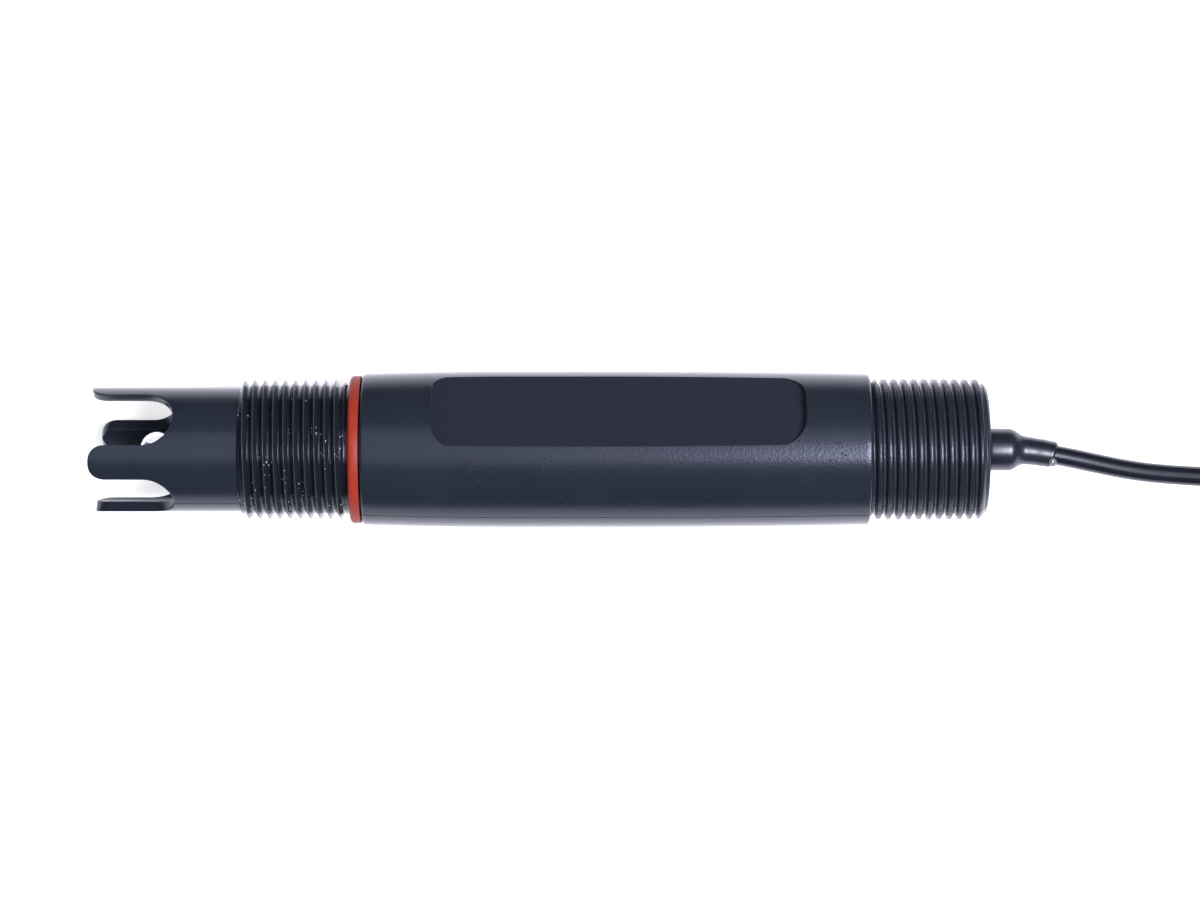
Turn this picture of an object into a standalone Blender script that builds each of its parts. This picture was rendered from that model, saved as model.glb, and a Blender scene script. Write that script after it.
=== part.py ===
"""Process pH electrode with a slotted guard, two pipe threads and a coaxial lead.

The electrode lies along X with the guard at -X and the lead at +X. Its axis is
BARREL_MID_R above the table, so the thickest part of the barrel rests on Z = 0.
Stations along the axis are measured from the tips of the guard's prongs.
Lengths are in metres, written as a number of millimetres times MM.
"""

import math

import bmesh
import bpy
from mathutils import Matrix, Vector

MM = 0.001
GAP = 0.3 * MM  # clearance between pieces that seat on each other
CUT_PAST = 2 * MM  # how far a cutter reaches past the faces that it cuts
MERGE = 0.001 * MM  # points closer than this are one point

# Housing, outside
SLEEVE_LENGTH = 26.4 * MM
FRONT_THREAD_LENGTH = 19.2 * MM
NECK_LENGTH = 2.7 * MM
BARREL_LENGTH = 90.9 * MM
REAR_THREAD_LENGTH = 20.8 * MM
SLEEVE_R = 11.15 * MM
NECK_R = 11.35 * MM
BARREL_MID_R = 13.97 * MM
BARREL_CROWN = 0.45 * MM  # how much thinner the barrel is at its ends
CROWN_PEAK = 34.9 * MM  # from the barrel's front face to the middle of its thickest stretch
CROWN_FLAT = 16 * MM
BARREL_FRONT_EDGE = 0.45 * MM
BARREL_REAR_BEVEL = 0.55 * MM
BARREL_REAR_DROP = 1.3 * MM
BARREL_FRONT_STEPS = 3
BARREL_REAR_STEPS = 4
TIP_EDGE = 0.35 * MM

# Pipe threads, 14 turns to the inch
PITCH = 25.4 * MM / 14
FRONT_ROOT_R = 11.5 * MM
FRONT_CREST_R = 12.6 * MM
FRONT_CREST_WIDTH = 0.0  # a sharp V
FRONT_BASE_WIDTH = 1.42 * MM
FRONT_CREST_STATION = 2.04 * MM  # from the thread's start to its first crest underneath
FRONT_LEAD_IN = 0.2 * MM  # height of the ridge at the thread's end faces
REAR_ROOT_R = 11.65 * MM
REAR_CREST_R = 12.65 * MM
REAR_CREST_WIDTH = 0.72 * MM
REAR_BASE_WIDTH = 1.56 * MM
REAR_CREST_STATION = 2.0 * MM
REAR_CHAMFER = 0.35 * MM  # how far the chamfer at the rear face reaches below the root
CHAMFER_SLOPE = 1.0  # rise of both lead-in chamfers for each unit of length

# Housing, inside
GUARD_BORE_R = 9.35 * MM
GUARD_DEPTH = 17 * MM
WEB_THICKNESS = 5 * MM
WEB_BORE_R = 6.5 * MM
MAIN_BORE_R = 8.5 * MM
POTTING_BORE_R = 9.2 * MM
POTTING_DEPTH = 10 * MM

# Slots in the guard
SLOT_WIDTH = 10.5 * MM
SLOT_DEPTH = 14.9 * MM
SLOT_ANGLE = 32.5  # degrees from the top towards +Y
PRONG_TIP_LENGTH = 2.9 * MM
PRONG_TIP_INSET = 2.3 * MM
SLOT_END_STEPS = 14
PRONG_TIP_STEPS = 5

# Wrench flats
FLAT_START = 12.3 * MM  # from the barrel's front face
FLAT_LENGTH = 67.2 * MM
FLAT_HALF_ACROSS = 11.7 * MM
FLAT_CUT_WIDTH = 15.4 * MM
FLAT_CORNER_FRONT = 2.8 * MM
FLAT_CORNER_REAR = 3.8 * MM
FLAT_CORNER_STEPS = 4
FLAT_ANGLE = 35.3  # degrees from the top towards +Y

# Seal ring at the barrel's front face
SEAL_R = 13.25 * MM
SEAL_WIDTH = 1.9 * MM
SEAL_EDGE = 0.7 * MM
SEAL_REAR_EDGE = 0.23 * MM

# Glass electrode
BULB_R = 3.17 * MM
BULB_CENTRE = 11.2 * MM
BULB_WALL = 0.45 * MM
STEM_R = 2.6 * MM
STEM_WALL = 0.7 * MM
STEM_LENGTH = 98 * MM  # from the bulb's centre
BULB_STEPS = 9
BULB_INNER_STEPS = 6

# Pieces around the stem, stations from the prong tips
JUNCTION_RECESS = 0.3 * MM
JUNCTION_FLANGE = 2 * MM
SPACER_STATION = 54 * MM
SPACER_LENGTH = 4 * MM
SPACER_NOTCH_R = 2.3 * MM
SPACER_NOTCH_DEPTH = 1.4 * MM  # from the rim in to the middle of a notch
SPACER_NOTCHES = 3
BUNG_SET_BACK = 13.2 * MM  # from the stem's rear end to the bung's front face
BUNG_LENGTH = 9 * MM
BUNG_CORD = 1.6 * MM  # thickness of the O-ring in the bung's groove
STEM_CORD = 1.0 * MM  # thickness of the O-ring round the stem
WIRE_R = 0.4 * MM
WIRE_SET_BACK = 3.2 * MM  # from the bulb's centre back to the tip of the silver wire
WIRE_TAIL = 8.5 * MM  # how far the silver wire stands out of the stem
REFERENCE_OFFSET = 5.2 * MM
REFERENCE_STATION = 30 * MM
REFERENCE_TAIL = 4.8 * MM  # how far the reference wire reaches past the stem's rear end
STOPPER_DEPTH = 6 * MM
STOPPER_HEAD = 2 * MM
CORE_LEAD_R = 0.65 * MM
SHIELD_LEAD_R = 0.4 * MM
SHIELD_OFFSET = 1.4 * MM
SHIELD_STRAIGHT = 1 * MM  # past the solder sleeve, before the lead bends inwards
SHIELD_ENTRY = 2 * MM  # straight run into the cut end of the jacket
SHIELD_POINT_SPACING = 2.5 * MM
SOLDER_SLEEVE_LENGTH = 11 * MM
SOLDER_SLEEVE_WALL = 0.3 * MM

# Lead and its exit
CABLE_R = 1.75 * MM
CABLE_INSIDE = 21 * MM  # from the housing's rear face back to the cut end of the jacket
POTTING_RECESS = 1.2 * MM
BUSH_R = 3.1 * MM
BUSH_LENGTH = 9 * MM
BUSH_PROUD = 3.4 * MM  # how far the bush stands out of the housing
SHRINK_WALL = 0.4 * MM
SHRINK_NECK_R = 2.5 * MM
SHRINK_TIP_R = 2.35 * MM
SHRINK_START = 0.4 * MM
SHRINK_SHOULDER = 2.4 * MM
SHRINK_END = 12.6 * MM

# Hank of spare lead
HANK_FACE = 42 * MM  # from the housing's rear face
HANK_STRAIGHT = 54 * MM
HANK_INNER_TURN = 10.5 * MM
HANK_COLUMNS = 3
HANK_LAYERS = 5
TIE_THICKNESS = 0.8 * MM
TIE_WIDTH = 5 * MM
TIE_CORNER = 1.6 * MM
TIE_INNER_CORNER = 0.4 * MM

# Coaxial plug, which lies in the hank's eye; stations from the rear of its boot.
# BOOT_RINGS gives the boot's outside behind its head, in millimetres: the station, and
# the depth below the head's radius.
PLUG_X = 166 * MM
BOOT_LENGTH = 12 * MM
BOOT_REAR_R = 2.7 * MM
BOOT_FRONT_R = 4.1 * MM
BOOT_RINGS = [(6.6, 0.0), (6.0, 0.4), (4.8, 0.5), (4.2, 0.3), (3.4, 0.4), (2.9, 0.9)]
FERRULE_R = 3.2 * MM
FERRULE_STATION = 5.3 * MM
FERRULE_LENGTH = 8.7 * MM
COLLAR_R = 5.5 * MM
COLLAR_LENGTH = 3.7 * MM
COLLAR_WALL = 1.4 * MM
PLUG_NECK_R = 4.7 * MM
FLANGE_R = 5.3 * MM
FLANGE_THICKNESS = 0.8 * MM
CONTACT_R = 4.05 * MM
CONTACT_WALL = 0.65 * MM
CONTACT_LENGTH = 11 * MM
CONTACT_LEAD_IN = 0.22 * MM
CONTACT_SLOT = 0.5 * MM
CONTACT_SLOT_LENGTH = 5 * MM
CORE_HOLE_R = 1.2 * MM
COUPLING_R = 7.25 * MM
COUPLING_FRONT_R = 6.6 * MM
COUPLING_BORE_R = 5.65 * MM
COUPLING_WEB = 1.9 * MM
COUPLING_LENGTH = 14.8 * MM
COUPLING_GRIP = 7.4 * MM
GRIP_EDGE = 0.4 * MM
GRIP_FLUTES = 12
FLUTE_R = 0.8 * MM
FLUTE_RISE = 0.16 * MM  # of a flute's centre above the grip
BAYONET_HOLE_R = 1.2 * MM
BAYONET_HOLE_STATION = 10.4 * MM
BAYONET_ENTRY_WIDTH = 2.2 * MM
BAYONET_ENTRY_DEPTH = 0.5 * MM
RAMP_R = 1.1 * MM  # of the round-nosed cutter that mills the two ramps
RAMP_STEPS = 10
WASHER_THICKNESS = 0.4 * MM
GASKET_WIDTH = 1.5 * MM
GASKET_THICKNESS = 0.95 * MM
PIN_R = 0.68 * MM
PIN_TIP_R = 0.27 * MM
PIN_LENGTH = 17 * MM
INSULATOR_LENGTH = 10 * MM

# Fineness of the round surfaces
HOUSING_FACETS = 32
RING_FACETS = 24
FACETS = 16
SMALL_FACETS = 12
O_RING_SIDES = 6
SMOOTH_ANGLE = 35  # degrees; faces that meet at more keep a sharp edge
ROUTE_FINENESS = 24
CABLE_POINT_SPACING = 8.5 * MM
SHRINK_POINT_SPACING = 0.8 * MM

# The lead's route from the housing to the hank: millimetres past the housing's rear
# face, across towards +Y, and above the electrode's axis
LEAD_ROUTE = [
    (2.7, 0.0, 0.0),
    (7.0, -0.16, 0.0),
    (11.3, -0.77, 0.05),
    (15.6, -1.58, 0.15),
    (19.9, -2.5, 0.35),
    (24.2, -3.38, 0.65),
    (28.5, -4.06, 1.05),
    (32.9, -4.49, 1.6),
    (38.2, -4.85, 2.4),
    (41.7, -4.95, 2.88),
]
# Its route out of the hank to the plug in the hank's eye: millimetres short of the
# plug's boot, across towards +Y, and above the plug's axis
TAIL_ROUTE = [
    (15.0, -6.5, -3.2),
    (11.0, -3.9, -2.1),
    (7.0, -1.7, -1.0),
    (3.0, -0.4, -0.25),
    (0.0, 0.0, 0.0),
    (-4.0, 0.0, 0.0),
]

# Dependent sizes
THREAD_STATION = SLEEVE_LENGTH
NECK_STATION = THREAD_STATION + FRONT_THREAD_LENGTH
BARREL_STATION = NECK_STATION + NECK_LENGTH
BARREL_END = BARREL_STATION + BARREL_LENGTH
TOTAL_LENGTH = BARREL_END + REAR_THREAD_LENGTH
AXIS_Z = BARREL_MID_R
REAR_X = TOTAL_LENGTH / 2
CABLE_HOLE_R = CABLE_R + GAP
STEM_HOLE_R = STEM_R + GAP
STEM_END = BULB_CENTRE + STEM_LENGTH
BUNG_STATION = STEM_END - BUNG_SET_BACK
REFERENCE_END = STEM_END + REFERENCE_TAIL
TURN_SPACING = 2 * CABLE_R
HANK_X = REAR_X + HANK_FACE
HANK_BASE = TIE_THICKNESS + GAP
HANK_TOP = HANK_BASE + HANK_LAYERS * TURN_SPACING
HANK_EYE_R = HANK_INNER_TURN - CABLE_R
HANK_OUTER_R = HANK_EYE_R + HANK_COLUMNS * TURN_SPACING
PLUG_Z = COUPLING_R
BODY_STATION = FERRULE_STATION + FERRULE_LENGTH + GAP
NECK_START = BODY_STATION + COLLAR_LENGTH
COUPLING_STATION = NECK_START + GAP
WASHER_STATION = COUPLING_STATION + COUPLING_WEB + GAP
FLANGE_STATION = WASHER_STATION + WASHER_THICKNESS + GAP
CONTACT_STATION = FLANGE_STATION + FLANGE_THICKNESS


def x_of(station):
    """World X of a station measured from the prong tips."""
    return station - TOTAL_LENGTH / 2


def material(name, colour, roughness, metallic=0.0, transmission=0.0):
    """A Principled material; colour is linear red, green and blue."""
    made = bpy.data.materials.new(name)
    made.use_nodes = True
    shader = made.node_tree.nodes["Principled BSDF"]
    shader.inputs["Base Color"].default_value = (*colour, 1.0)
    shader.inputs["Roughness"].default_value = roughness
    shader.inputs["Metallic"].default_value = metallic
    shader.inputs["Transmission Weight"].default_value = transmission
    made.diffuse_color = (*colour, 1.0)
    return made


def clear_scene():
    """Remove every object and collection that a new file starts with."""
    for thing in list(bpy.data.objects):
        bpy.data.objects.remove(thing, do_unlink=True)
    for group in list(bpy.data.collections):
        bpy.data.collections.remove(group)


def new_collection(name):
    """A collection of that name in the scene."""
    made = bpy.data.collections.new(name)
    bpy.context.scene.collection.children.link(made)
    return made


def smoothed(thing):
    """Bake a piece's modifiers into its mesh, and shade its round faces smooth."""
    applied(thing)
    thing.data.shade_smooth()
    thing.data.set_sharp_from_angle(angle=math.radians(SMOOTH_ANGLE))


def add_object(name, data, finish, collection):
    """An object of the mesh or curve, with the finish as its one material."""
    made = bpy.data.objects.new(name, data)
    collection.objects.link(made)
    if finish is not None:
        data.materials.clear()
        data.materials.append(finish)
    return made


def lie_along_x(thing, x=0.0, y=0.0, z=None):
    """Turn an object made about its own Z so that Z points to world +X."""
    thing.rotation_euler = (0.0, math.radians(90), 0.0)
    thing.location = (x, y, AXIS_Z if z is None else z)


def turned(name, profile, finish, collection, facets=FACETS, closed=True):
    """A turned piece: (axial place, radius) pairs, rear to front outside and back inside."""
    points = [(radius, 0.0, along) for along, radius in profile]
    edges = [(n, n + 1) for n in range(len(points) - 1)]
    if closed:
        edges.append((len(points) - 1, 0))
    data = bpy.data.meshes.new(name)
    data.from_pydata(points, edges, [])
    made = add_object(name, data, finish, collection)
    screw = made.modifiers.new("Turn", "SCREW")
    screw.axis = "Z"
    screw.angle = math.radians(360)
    screw.steps = facets
    screw.render_steps = facets
    screw.use_merge_vertices = True
    screw.merge_threshold = MERGE
    screw.use_smooth_shade = False
    return made


def applied(thing):
    """Replace an object's mesh with its evaluated one, and drop its modifiers."""
    bpy.context.view_layer.update()
    graph = bpy.context.evaluated_depsgraph_get()
    data = bpy.data.meshes.new_from_object(thing.evaluated_get(graph))
    thing.modifiers.clear()
    thing.data = data
    return thing


def mesh_of_curve(thing, collection):
    """A mesh object in place of a curve object, with the curve's loose caps welded on."""
    bpy.context.view_layer.update()
    graph = bpy.context.evaluated_depsgraph_get()
    data = bpy.data.meshes.new_from_object(thing.evaluated_get(graph))
    soup = bmesh.new()
    soup.from_mesh(data)
    bmesh.ops.remove_doubles(soup, verts=soup.verts, dist=MERGE)
    soup.to_mesh(data)
    soup.free()
    name, place = thing.name, thing.matrix_world.copy()
    bpy.data.objects.remove(thing, do_unlink=True)
    made = bpy.data.objects.new(name, data)
    made.matrix_world = place
    collection.objects.link(made)
    return made


def boolean(thing, other, operation):
    """Cut or join with another object, and keep the other only as a hidden tool."""
    step = thing.modifiers.new(operation.title(), "BOOLEAN")
    step.operation = operation
    step.solver = "EXACT"
    step.object = other
    other.hide_render = True
    other.display_type = "WIRE"
    return step


def prism(name, outline, low, high, collection):
    """A solid with the outline in its XY plane, from the low to the high Z."""
    data = bpy.data.meshes.new(name)
    work = bmesh.new()
    base = [work.verts.new((x, y, low)) for x, y in outline]
    face = work.faces.new(base)
    raised = bmesh.ops.extrude_face_region(work, geom=[face])
    top = [item for item in raised["geom"] if isinstance(item, bmesh.types.BMVert)]
    bmesh.ops.translate(work, verts=top, vec=(0.0, 0.0, high - low))
    bmesh.ops.recalc_face_normals(work, faces=work.faces)
    work.to_mesh(data)
    work.free()
    return add_object(name, data, None, collection)


def arc(centre, radius, start, end, steps):
    """Points on a circle's arc, from the start to the end angle in degrees."""
    x, y = centre
    turns = [math.radians(start + (end - start) * n / steps) for n in range(steps + 1)]
    return [(x + radius * math.cos(t), y + radius * math.sin(t)) for t in turns]


def smooth_route(points, spacing):
    """Points at an even spacing along a smooth curve through the given points."""
    way = [Vector(p) for p in points]
    way = [2 * way[0] - way[1]] + way + [2 * way[-1] - way[-2]]
    fine = []
    for n in range(1, len(way) - 2):
        a, b, c, d = way[n - 1 : n + 3]
        square, cube = 2 * a - 5 * b + 4 * c - d, 3 * b - a - 3 * c + d
        for k in range(ROUTE_FINENESS):
            t = k / ROUTE_FINENESS
            fine.append((2 * b + (c - a) * t + square * t**2 + cube * t**3) / 2)
    fine.append(way[-2])
    length = sum((q - p).length for p, q in zip(fine, fine[1:]))
    count = max(2, round(length / spacing))
    route, walked, target = [fine[0]], 0.0, length / count
    for p, q in zip(fine, fine[1:]):
        step = (q - p).length
        while len(route) < count and walked + step >= target * len(route):
            route.append(p.lerp(q, (target * len(route) - walked) / step))
        walked += step
    route.append(fine[-1])
    return route


def tube(name, route, radius, finish, collection, radii=None, sides=2):
    """A round solid bar along a route, with flat caps; radii scale it point by point."""
    data = bpy.data.curves.new(name, "CURVE")
    data.dimensions = "3D"
    data.bevel_depth = radius
    data.bevel_resolution = sides
    data.use_fill_caps = True
    data.resolution_u = 1
    spline = data.splines.new("POLY")
    spline.points.add(len(route) - 1)
    for n, place in enumerate(route):
        spline.points[n].co = (*place, 1.0)
        spline.points[n].radius = 1.0 if radii is None else radii[n]
    return add_object(name, data, finish, collection)


def crown_radius(station):
    """Radius of the barrel: a flat crest, falling as a parabola to both ends."""
    peak = BARREL_STATION + CROWN_PEAK
    off = max(0.0, abs(station - peak) - CROWN_FLAT / 2)
    end = BARREL_STATION if station < peak else BARREL_END
    reach = abs(end - peak) - CROWN_FLAT / 2
    return BARREL_MID_R - BARREL_CROWN * (off / reach) ** 2


def barrel_profile():
    """The barrel's outer line, from its rear bevel to its front edge."""
    peak = BARREL_STATION + CROWN_PEAK
    rear = BARREL_END - BARREL_REAR_BEVEL
    front = BARREL_STATION + BARREL_FRONT_EDGE
    rear_flat, front_flat = peak + CROWN_FLAT / 2, peak - CROWN_FLAT / 2
    steps = BARREL_REAR_STEPS
    stations = [rear + (rear_flat - rear) * n / steps for n in range(steps + 1)]
    steps = BARREL_FRONT_STEPS
    stations += [front_flat + (front - front_flat) * n / steps for n in range(steps + 1)]
    line = [(x_of(s), crown_radius(s)) for s in stations]
    before = [(x_of(BARREL_END), crown_radius(BARREL_END) - BARREL_REAR_DROP)]
    after = [(x_of(BARREL_STATION), crown_radius(BARREL_STATION) - BARREL_FRONT_EDGE)]
    return before + line + after


def core_profile():
    """Half section of the moulding as a solid bar; the threads are wound over it."""
    core_end = TOTAL_LENGTH - PITCH
    line = [
        (x_of(core_end), 0.0),
        (x_of(core_end), SLEEVE_R),
        (x_of(BARREL_END), SLEEVE_R),
    ]
    line += barrel_profile()
    line += [
        (x_of(BARREL_STATION), NECK_R),
        (x_of(NECK_STATION - PITCH / 2), NECK_R),
        (x_of(NECK_STATION - PITCH / 2), SLEEVE_R),
        (x_of(TIP_EDGE), SLEEVE_R),
        (x_of(0.0), SLEEVE_R - TIP_EDGE),
        (x_of(0.0), 0.0),
    ]
    return line


def bore_profile():
    """Half section of the space inside: guard, web, chamber and potting recess."""
    web_end = GUARD_DEPTH + WEB_THICKNESS
    potting = TOTAL_LENGTH - POTTING_DEPTH
    past = PITCH
    return [
        (x_of(TOTAL_LENGTH + past), 0.0),
        (x_of(TOTAL_LENGTH + past), POTTING_BORE_R),
        (x_of(potting), POTTING_BORE_R),
        (x_of(potting), MAIN_BORE_R),
        (x_of(web_end), MAIN_BORE_R),
        (x_of(web_end), WEB_BORE_R),
        (x_of(GUARD_DEPTH), WEB_BORE_R),
        (x_of(GUARD_DEPTH), GUARD_BORE_R),
        (x_of(TIP_EDGE), GUARD_BORE_R),
        (x_of(-past), GUARD_BORE_R + TIP_EDGE + past),
        (x_of(-past), 0.0),
    ]


def threaded_bar(name, start, end, first_crest, radii, widths, lead_ins, collection):
    """A capped bar with a right-handed thread, cut square and chamfered at both ends.

    radii are the root's and the crest's, widths the ridge's at its base and crest.
    lead_ins are the chamfers' heights above the root at the start and the end face.
    One turn of the whole row of ridges, rising by a pitch, meets itself and is welded.
    """
    root_r, crest_r = radii
    base, crest = widths
    before = math.ceil((first_crest - start) / PITCH) + 2
    after = math.ceil((end - first_crest) / PITCH) + 1
    line = []
    for n in range(-before, after + 1):
        middle = first_crest + n * PITCH
        line.append((root_r, 0.0, middle - base / 2))
        line.append((crest_r, 0.0, middle - crest / 2))
        if crest:
            line.append((crest_r, 0.0, middle + crest / 2))
        line.append((root_r, 0.0, middle + base / 2))
    data = bpy.data.meshes.new(name)
    data.from_pydata(line, [(n, n + 1) for n in range(len(line) - 1)], [])
    made = add_object(name, data, None, collection)
    screw = made.modifiers.new("Wind", "SCREW")
    screw.axis = "Z"
    screw.screw_offset = PITCH
    screw.steps = HOUSING_FACETS
    screw.render_steps = HOUSING_FACETS
    screw.use_smooth_shade = False
    applied(made)
    work = bmesh.new()
    work.from_mesh(made.data)
    bmesh.ops.remove_doubles(work, verts=work.verts, dist=MERGE)
    for place, side in ((start, -1), (end, 1)):
        bmesh.ops.bisect_plane(
            work,
            geom=work.verts[:] + work.edges[:] + work.faces[:],
            dist=MERGE / 10,
            plane_co=(0.0, 0.0, place),
            plane_no=(0.0, 0.0, side),
            clear_outer=True,
        )
    for vert in work.verts:
        radius = vert.co.xy.length
        low = root_r + lead_ins[0] + (vert.co.z - start) * CHAMFER_SLOPE
        high = root_r + lead_ins[1] + (end - vert.co.z) * CHAMFER_SLOPE
        vert.co.xy *= min(radius, low, high) / radius
    bmesh.ops.holes_fill(work, edges=[e for e in work.edges if e.is_boundary])
    bmesh.ops.recalc_face_normals(work, faces=work.faces)
    work.to_mesh(made.data)
    work.free()
    lie_along_x(made, x=x_of(0.0))
    return made


def slot_outline():
    """Outline of a guard slot: round at its end, flared at its mouth by the prongs' tips."""
    half = SLOT_WIDTH / 2
    centre = x_of(SLOT_DEPTH - half)
    end = arc((centre, 0.0), half, -90, 90, SLOT_END_STEPS)
    mouth = x_of(PRONG_TIP_LENGTH)
    flare = []
    for n in range(PRONG_TIP_STEPS + 1):
        share = n / PRONG_TIP_STEPS
        inset = PRONG_TIP_INSET * (1 - math.sqrt(1 - share**2))
        flare.append((mouth - PRONG_TIP_LENGTH * share, half + inset))
    beyond = x_of(-CUT_PAST)
    upper = end + flare + [(beyond, flare[-1][1])]
    lower = [(x, -y) for x, y in reversed(flare)]
    return upper + [(beyond, -flare[-1][1])] + lower


def slot_cutter(name, angle, collection):
    """A prism through both sides of the guard, along a radius at the angle from the top."""
    reach = SLEEVE_R + CUT_PAST
    made = prism(name, slot_outline(), -reach, reach, collection)
    made.rotation_euler = (math.radians(-angle), 0.0, 0.0)
    made.location = (0.0, 0.0, AXIS_Z)
    return made


def flat_cutter(name, angle, collection):
    """A block with rounded corners that leaves one wrench flat."""
    front = x_of(BARREL_STATION + FLAT_START)
    rear = front + FLAT_LENGTH
    half, a, b = FLAT_CUT_WIDTH / 2, FLAT_CORNER_FRONT, FLAT_CORNER_REAR
    outline = arc((rear - b, -half + b), b, -90, 0, FLAT_CORNER_STEPS)
    outline += arc((rear - b, half - b), b, 0, 90, FLAT_CORNER_STEPS)
    outline += arc((front + a, half - a), a, 90, 180, FLAT_CORNER_STEPS)
    outline += arc((front + a, -half + a), a, 180, 270, FLAT_CORNER_STEPS)
    made = prism(name, outline, FLAT_HALF_ACROSS, BARREL_MID_R + CUT_PAST, collection)
    made.rotation_euler = (math.radians(-angle), 0.0, 0.0)
    made.location = (0.0, 0.0, AXIS_Z)
    return made


def make_housing(parts, cutters, finish):
    """The one-piece moulding: guard, threads, barrel, wrench flats and bore."""
    housing = turned("housing", core_profile(), finish, parts, HOUSING_FACETS, closed=False)
    lie_along_x(housing)
    front = threaded_bar(
        "front_thread",
        THREAD_STATION,
        NECK_STATION,
        THREAD_STATION + FRONT_CREST_STATION,
        (FRONT_ROOT_R, FRONT_CREST_R),
        (FRONT_BASE_WIDTH, FRONT_CREST_WIDTH),
        (FRONT_LEAD_IN, FRONT_LEAD_IN),
        cutters,
    )
    rear = threaded_bar(
        "rear_thread",
        BARREL_END - PITCH,
        TOTAL_LENGTH,
        BARREL_END + REAR_CREST_STATION,
        (REAR_ROOT_R, REAR_CREST_R),
        (REAR_BASE_WIDTH, REAR_CREST_WIDTH),
        (0.0, -REAR_CHAMFER),
        cutters,
    )
    bore = turned("bore", bore_profile(), None, cutters, HOUSING_FACETS, closed=False)
    lie_along_x(bore)
    boolean(housing, front, "UNION")
    boolean(housing, rear, "UNION")
    boolean(housing, bore, "DIFFERENCE")
    boolean(housing, slot_cutter("slot_cutter_a", SLOT_ANGLE, cutters), "DIFFERENCE")
    boolean(housing, slot_cutter("slot_cutter_b", SLOT_ANGLE + 90, cutters), "DIFFERENCE")
    boolean(housing, flat_cutter("flat_cutter_a", FLAT_ANGLE, cutters), "DIFFERENCE")
    boolean(housing, flat_cutter("flat_cutter_b", FLAT_ANGLE + 180, cutters), "DIFFERENCE")
    return housing


def make_seal_ring(parts, finish):
    """Flat rubber ring in the neck, rounded at its front edge, behind the front thread."""
    rear = x_of(BARREL_STATION) - GAP
    front = rear - SEAL_WIDTH
    inner = NECK_R + GAP
    edge = arc((front + SEAL_EDGE, SEAL_R - SEAL_EDGE), SEAL_EDGE, 90, 180, 3)
    profile = [(rear, SEAL_R - SEAL_REAR_EDGE), (rear - SEAL_REAR_EDGE, SEAL_R)] + edge
    profile += [(front, inner), (rear, inner)]
    ring = turned("seal_ring", profile, finish, parts, RING_FACETS)
    lie_along_x(ring)
    return ring


def make_glass(parts, finish):
    """Blown bulb and stem as one glass piece, open at the rear of the stem."""
    inner_r = STEM_R - STEM_WALL
    bulb_in = BULB_R - BULB_WALL
    join = math.degrees(math.asin(STEM_R / BULB_R))
    join_in = math.degrees(math.asin(inner_r / bulb_in))
    outer = arc((x_of(BULB_CENTRE), 0.0), BULB_R, join, 180, BULB_STEPS)
    inner = arc((x_of(BULB_CENTRE), 0.0), bulb_in, 180, join_in, BULB_INNER_STEPS)
    rear = x_of(STEM_END)
    outer[-1] = (outer[-1][0], 0.0)
    inner[0] = (inner[0][0], 0.0)
    profile = inner + [(rear, inner_r), (rear, STEM_R)] + outer
    glass = turned("glass_electrode", profile, finish, parts, closed=False)
    lie_along_x(glass)
    return glass


def rod(name, start, end, radius, finish, parts, up=0.0, facets=SMALL_FACETS):
    """A plain round bar along the electrode between two stations, raised off the axis."""
    data = bpy.data.meshes.new(name)
    work = bmesh.new()
    bmesh.ops.create_cone(
        work,
        cap_ends=True,
        segments=facets,
        radius1=radius,
        radius2=radius,
        depth=end - start,
        matrix=Matrix.Translation((0.0, 0.0, (end - start) / 2)),
    )
    work.to_mesh(data)
    work.free()
    made = add_object(name, data, finish, parts)
    lie_along_x(made, x=x_of(start), z=AXIS_Z + up)
    return made


def sleeve(name, start, end, inner, outer, finish, parts, up=0.0, facets=SMALL_FACETS):
    """A plain round tube along the electrode between two stations."""
    section = [(end, outer), (start, outer), (start, inner), (end, inner)]
    made = turned(name, section, finish, parts, facets)
    lie_along_x(made, x=x_of(0.0), z=AXIS_Z + up)
    return made


def o_ring(name, station, inner, cord, finish, parts, facets=FACETS):
    """A rubber ring of round cord, seated on the inner radius."""
    centre = (station, inner + cord / 2)
    section = arc(centre, cord / 2, 0, 360, O_RING_SIDES)[:-1]
    made = turned(name, section, finish, parts, facets)
    lie_along_x(made, x=x_of(0.0))
    return made


def make_junction_ring(parts, finish):
    """Porous ring round the stem; its rear flange seats behind the housing's web."""
    web_end = GUARD_DEPTH + WEB_THICKNESS
    nose_r, flange_r = WEB_BORE_R - GAP, MAIN_BORE_R - GAP
    section = [
        (web_end + GAP + JUNCTION_FLANGE, flange_r),
        (web_end + GAP, flange_r),
        (web_end + GAP, nose_r),
        (GUARD_DEPTH + JUNCTION_RECESS, nose_r),
        (GUARD_DEPTH + JUNCTION_RECESS, STEM_HOLE_R),
        (web_end + GAP + JUNCTION_FLANGE, STEM_HOLE_R),
    ]
    ring = turned("junction_ring", section, finish, parts)
    lie_along_x(ring, x=x_of(0.0))
    return ring


def make_stem_spacer(parts, cutters, finish):
    """Disc that centres the stem, notched so that the electrolyte and the wire pass."""
    end = SPACER_STATION + SPACER_LENGTH
    rim = MAIN_BORE_R - GAP
    spacer = sleeve("stem_spacer", SPACER_STATION, end, STEM_HOLE_R, rim, finish, parts, facets=FACETS)
    before, after = SPACER_STATION - CUT_PAST, end + CUT_PAST
    middle = rim - SPACER_NOTCH_DEPTH
    for n in range(SPACER_NOTCHES):
        turn = math.radians(360 * n / SPACER_NOTCHES)
        notch = rod(f"spacer_notch_{n}", before, after, SPACER_NOTCH_R, None, cutters)
        notch.location.y = middle * math.sin(turn)
        notch.location.z = AXIS_Z + middle * math.cos(turn)
        boolean(spacer, notch, "DIFFERENCE")
    return spacer


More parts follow.
